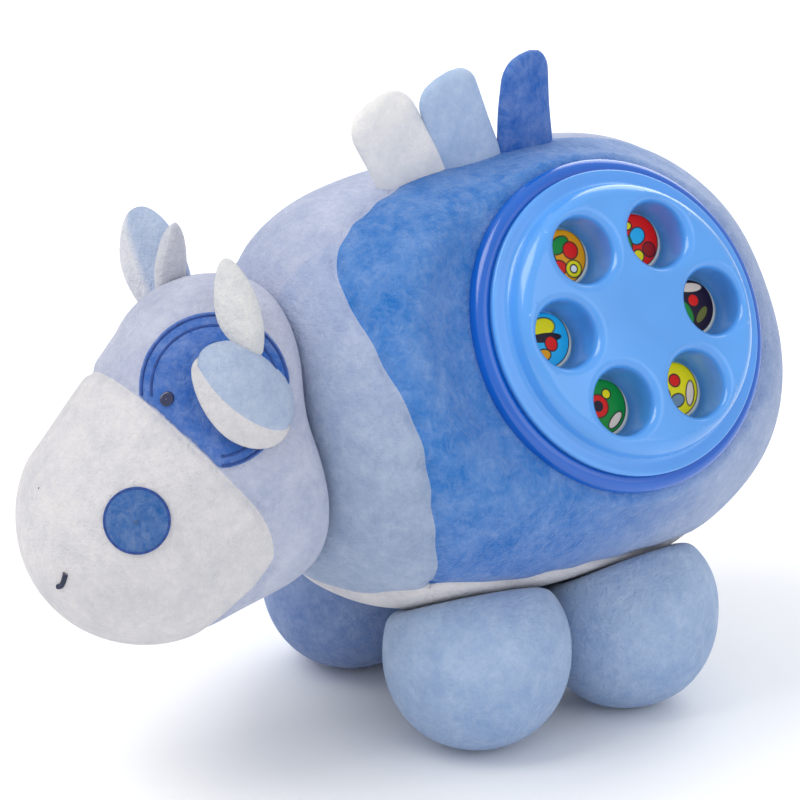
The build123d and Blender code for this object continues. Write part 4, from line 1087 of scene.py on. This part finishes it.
# each key's print: word, ground, and ellipses as (across, up, half width, half height, degrees, paint)
ART = {
    1: ("black", DARKINK, [
        (-0.4, -0.1, 0.3, 0.5, 20, GREEN),
        (0.1, 0.25, 0.2, 0.2, 0, RED),
        (0.3, -0.3, 0.35, 0.14, 40, linear(120, 120, 50)),
        (0.1, 0.72, 0.5, 0.16, -8, PINK),
    ]),
    2: ("red", RED, [
        (0.05, 0.2, 0.32, 0.26, 30, CYAN),
        (-0.45, -0.15, 0.16, 0.42, -15, GREEN),
        (-0.1, -0.5, 0.2, 0.2, 0, YELLOW),
        (0.4, -0.35, 0.24, 0.24, 0, linear(170, 20, 24)),
        (-0.25, 0.62, 0.17, 0.13, 0, YELLOW),
    ]),
    3: ("orange", ORANGE, [
        (-0.1, 0.45, 0.42, 0.24, 25, GREEN),
        (0.3, 0.2, 0.28, 0.28, 0, RED),
        (-0.55, 0.0, 0.15, 0.26, 0, CYAN),
        (-0.3, -0.3, 0.26, 0.22, -20, RED),
        (0.25, -0.45, 0.3, 0.28, 0, YELLOW),
        (0.25, -0.45, 0.12, 0.12, 0, linear(250, 250, 240)),
    ]),
    4: ("cyan", CYAN, [
        (-0.05, 0.5, 0.46, 0.3, 0, YELLOW),
        (-0.05, 0.12, 0.6, 0.12, -6, DARKINK),
        (0.1, -0.12, 0.22, 0.24, 20, RED),
        (-0.3, -0.45, 0.26, 0.18, 0, ORANGE),
        (-0.7, 0.1, 0.14, 0.4, 0, GREEN),
    ]),
    5: ("green", GREEN, [
        (-0.25, 0.1, 0.38, 0.38, 0, RED),
        (-0.25, 0.1, 0.15, 0.15, 0, DARKINK),
        (0.2, 0.45, 0.15, 0.15, 0, YELLOW),
        (0.3, -0.5, 0.36, 0.14, 35, PINK),
    ]),
    6: ("yellow", YELLOW, [
        (0.0, 0.35, 0.2, 0.2, 0, RED),
        (-0.55, -0.05, 0.2, 0.26, 0, ORANGE),
        (-0.1, -0.35, 0.28, 0.2, 15, GREY),
        (0.5, -0.2, 0.15, 0.42, -20, PINK),
    ]),
}
CAP_RADIUS, CAP_EDGE, CAP_SIDE_TOP, CROWN_FOOT, CROWN_RISE = 8.5, 0.3, 4.0, 4.4, 0.5
SKIRT_RADIUS, SKIRT_BOTTOM, SKIRT_TOP = 10.2, -1.1, 0.3
POST_RADIUS, POST_END = 2.2, -3.1


def cap_profile():
    """A key from the end of its post, over its skirt and side, to the top of its crown."""
    inner = CAP_RADIUS - CAP_EDGE
    profile = [(0.05, POST_END), (POST_RADIUS, POST_END), (POST_RADIUS, SKIRT_BOTTOM)]
    profile += [(SKIRT_RADIUS, SKIRT_BOTTOM), (SKIRT_RADIUS, SKIRT_TOP), (CAP_RADIUS, SKIRT_TOP)]
    profile += [(CAP_RADIUS, CAP_SIDE_TOP)] + arc(inner, CAP_SIDE_TOP, CAP_EDGE, 0, 80, 4)[1:]
    return profile + [(inner * s, CROWN_FOOT + CROWN_RISE * (1 - s * s)) for s in np.linspace(1, 0.01, 16)]


def make_buttons():
    for number, (cu, cv) in enumerate(well_centres(), start=1):
        word, ground, shapes = ART[number]
        points, faces = turned(cap_profile(), 96, cu, cv)
        paint = printed(f"print_{word}", ground, shapes)
        name, body, nodes = f"key_cap_{number}", f"key_{number}", (f"button_{number}",)
        piece = mesh_piece(name, points, faces, paint, body, nodes)
        q = points - UNIT_CENTRE
        local = np.stack([(q @ U - cu) / CAP_RADIUS, (q @ V - cv) / CAP_RADIUS, 0 * q[:, 0]], axis=-1)
        layer = piece.data.attributes.new("print", "FLOAT_VECTOR", "POINT")
        layer.data.foreach_set("vector", local.ravel())
        weld(piece)


def paint_inside():
    """Better finishes for the CAD pieces that only show when the unit is out or its door is off."""
    screws = ("socket_screws", "case_screws", "battery_door_screw", "battery_contacts")
    black = ("sound_chip", "speaker_frame", "power_switch_body", "power_switch_knob")
    finishes = (
        (plastic("case_grey", linear(120, 134, 156), 0.5, 0.0), ("rear_shell", "battery_door", "socket_cup")),
        (plastic("black_plastic", linear(24, 24, 26), 0.45, 0.0), black),
        (plastic("mat_rubber", linear(214, 214, 208), 0.7, 0.0), ("keypad_mat",)),
        (plastic("board_green", linear(30, 104, 60), 0.35, 0.2), ("circuit_board",)),
        (metal("steel", linear(190, 192, 196)), screws),
        (plastic("cell_sleeve", linear(40, 92, 120), 0.3, 0.3), ("battery_cells",)),
        (plastic("cone_paper", linear(56, 50, 44), 0.85, 0.0), ("speaker_cone",)),
        (plastic("wire_red", linear(150, 24, 22), 0.45, 0.0), ("internal_wires",)),
    )
    for finish, nodes in finishes:
        for node in nodes:
            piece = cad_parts[node]
            piece.data.materials.clear()
            piece.data.materials.append(finish)


# ---------------------------------------------------------------- studio
def area_light(name, place, aim, size, energy, colour=(1, 1, 1)):
    data = bpy.data.lights.new(name, "AREA")
    data.size = size
    data.energy = energy
    data.color = colour
    light = bpy.data.objects.new(name, data)
    light.location = row(place)
    light.rotation_euler = (Vector(row(aim)) - light.location).to_track_quat("-Z", "Y").to_euler()
    bpy.context.scene.collection.objects.link(light)


WORLD_STRENGTH, FLOOR_HALF, FLOOR_DOWN = 0.74, 4000, -0.3


def make_studio():
    scene = bpy.context.scene
    scene.view_settings.view_transform = "Standard"
    world = bpy.data.worlds.new("studio")
    scene.world = world
    world.use_nodes = True
    world.node_tree.nodes["Background"].inputs[0].default_value = (0.95, 0.97, 1.0, 1)
    world.node_tree.nodes["Background"].inputs[1].default_value = WORLD_STRENGTH
    paper = Nodes("floor_paper")
    paper.surface(Base_Color=paper.uneven(0.97, 0.99, 6), Roughness=0.9)
    mesh = bpy.data.meshes.new("floor")
    corners = [(x * FLOOR_HALF, y * FLOOR_HALF, FLOOR_DOWN) for x, y in ((-1, -1), (1, -1), (1, 1), (-1, 1))]
    mesh.from_pydata(row(corners).tolist(), [], [[0, 1, 2, 3]])
    mesh.materials.append(paper.material)
    floor = bpy.data.objects.new("floor", mesh)
    scene.collection.objects.link(floor)
    middle = np.array([0, -10, 90.0])
    area_light("key", middle + back * 900 - right * 1000 + up * 1300, middle, 1.2, 17, (1.0, 0.98, 0.95))
    area_light("fill", middle + back * 1300 + right * 1200 + up * 250, middle, 1.2, 5, (0.93, 0.96, 1.0))
    area_light("rim", middle - back * 500 + right * 300 + up * 700, middle, 0.7, 3)


make_torso()
make_head()
make_legs()
make_face()
make_eyes()
make_ears_and_horns()
make_back()
make_plate()
make_ring()
make_buttons()
paint_inside()
make_studio()
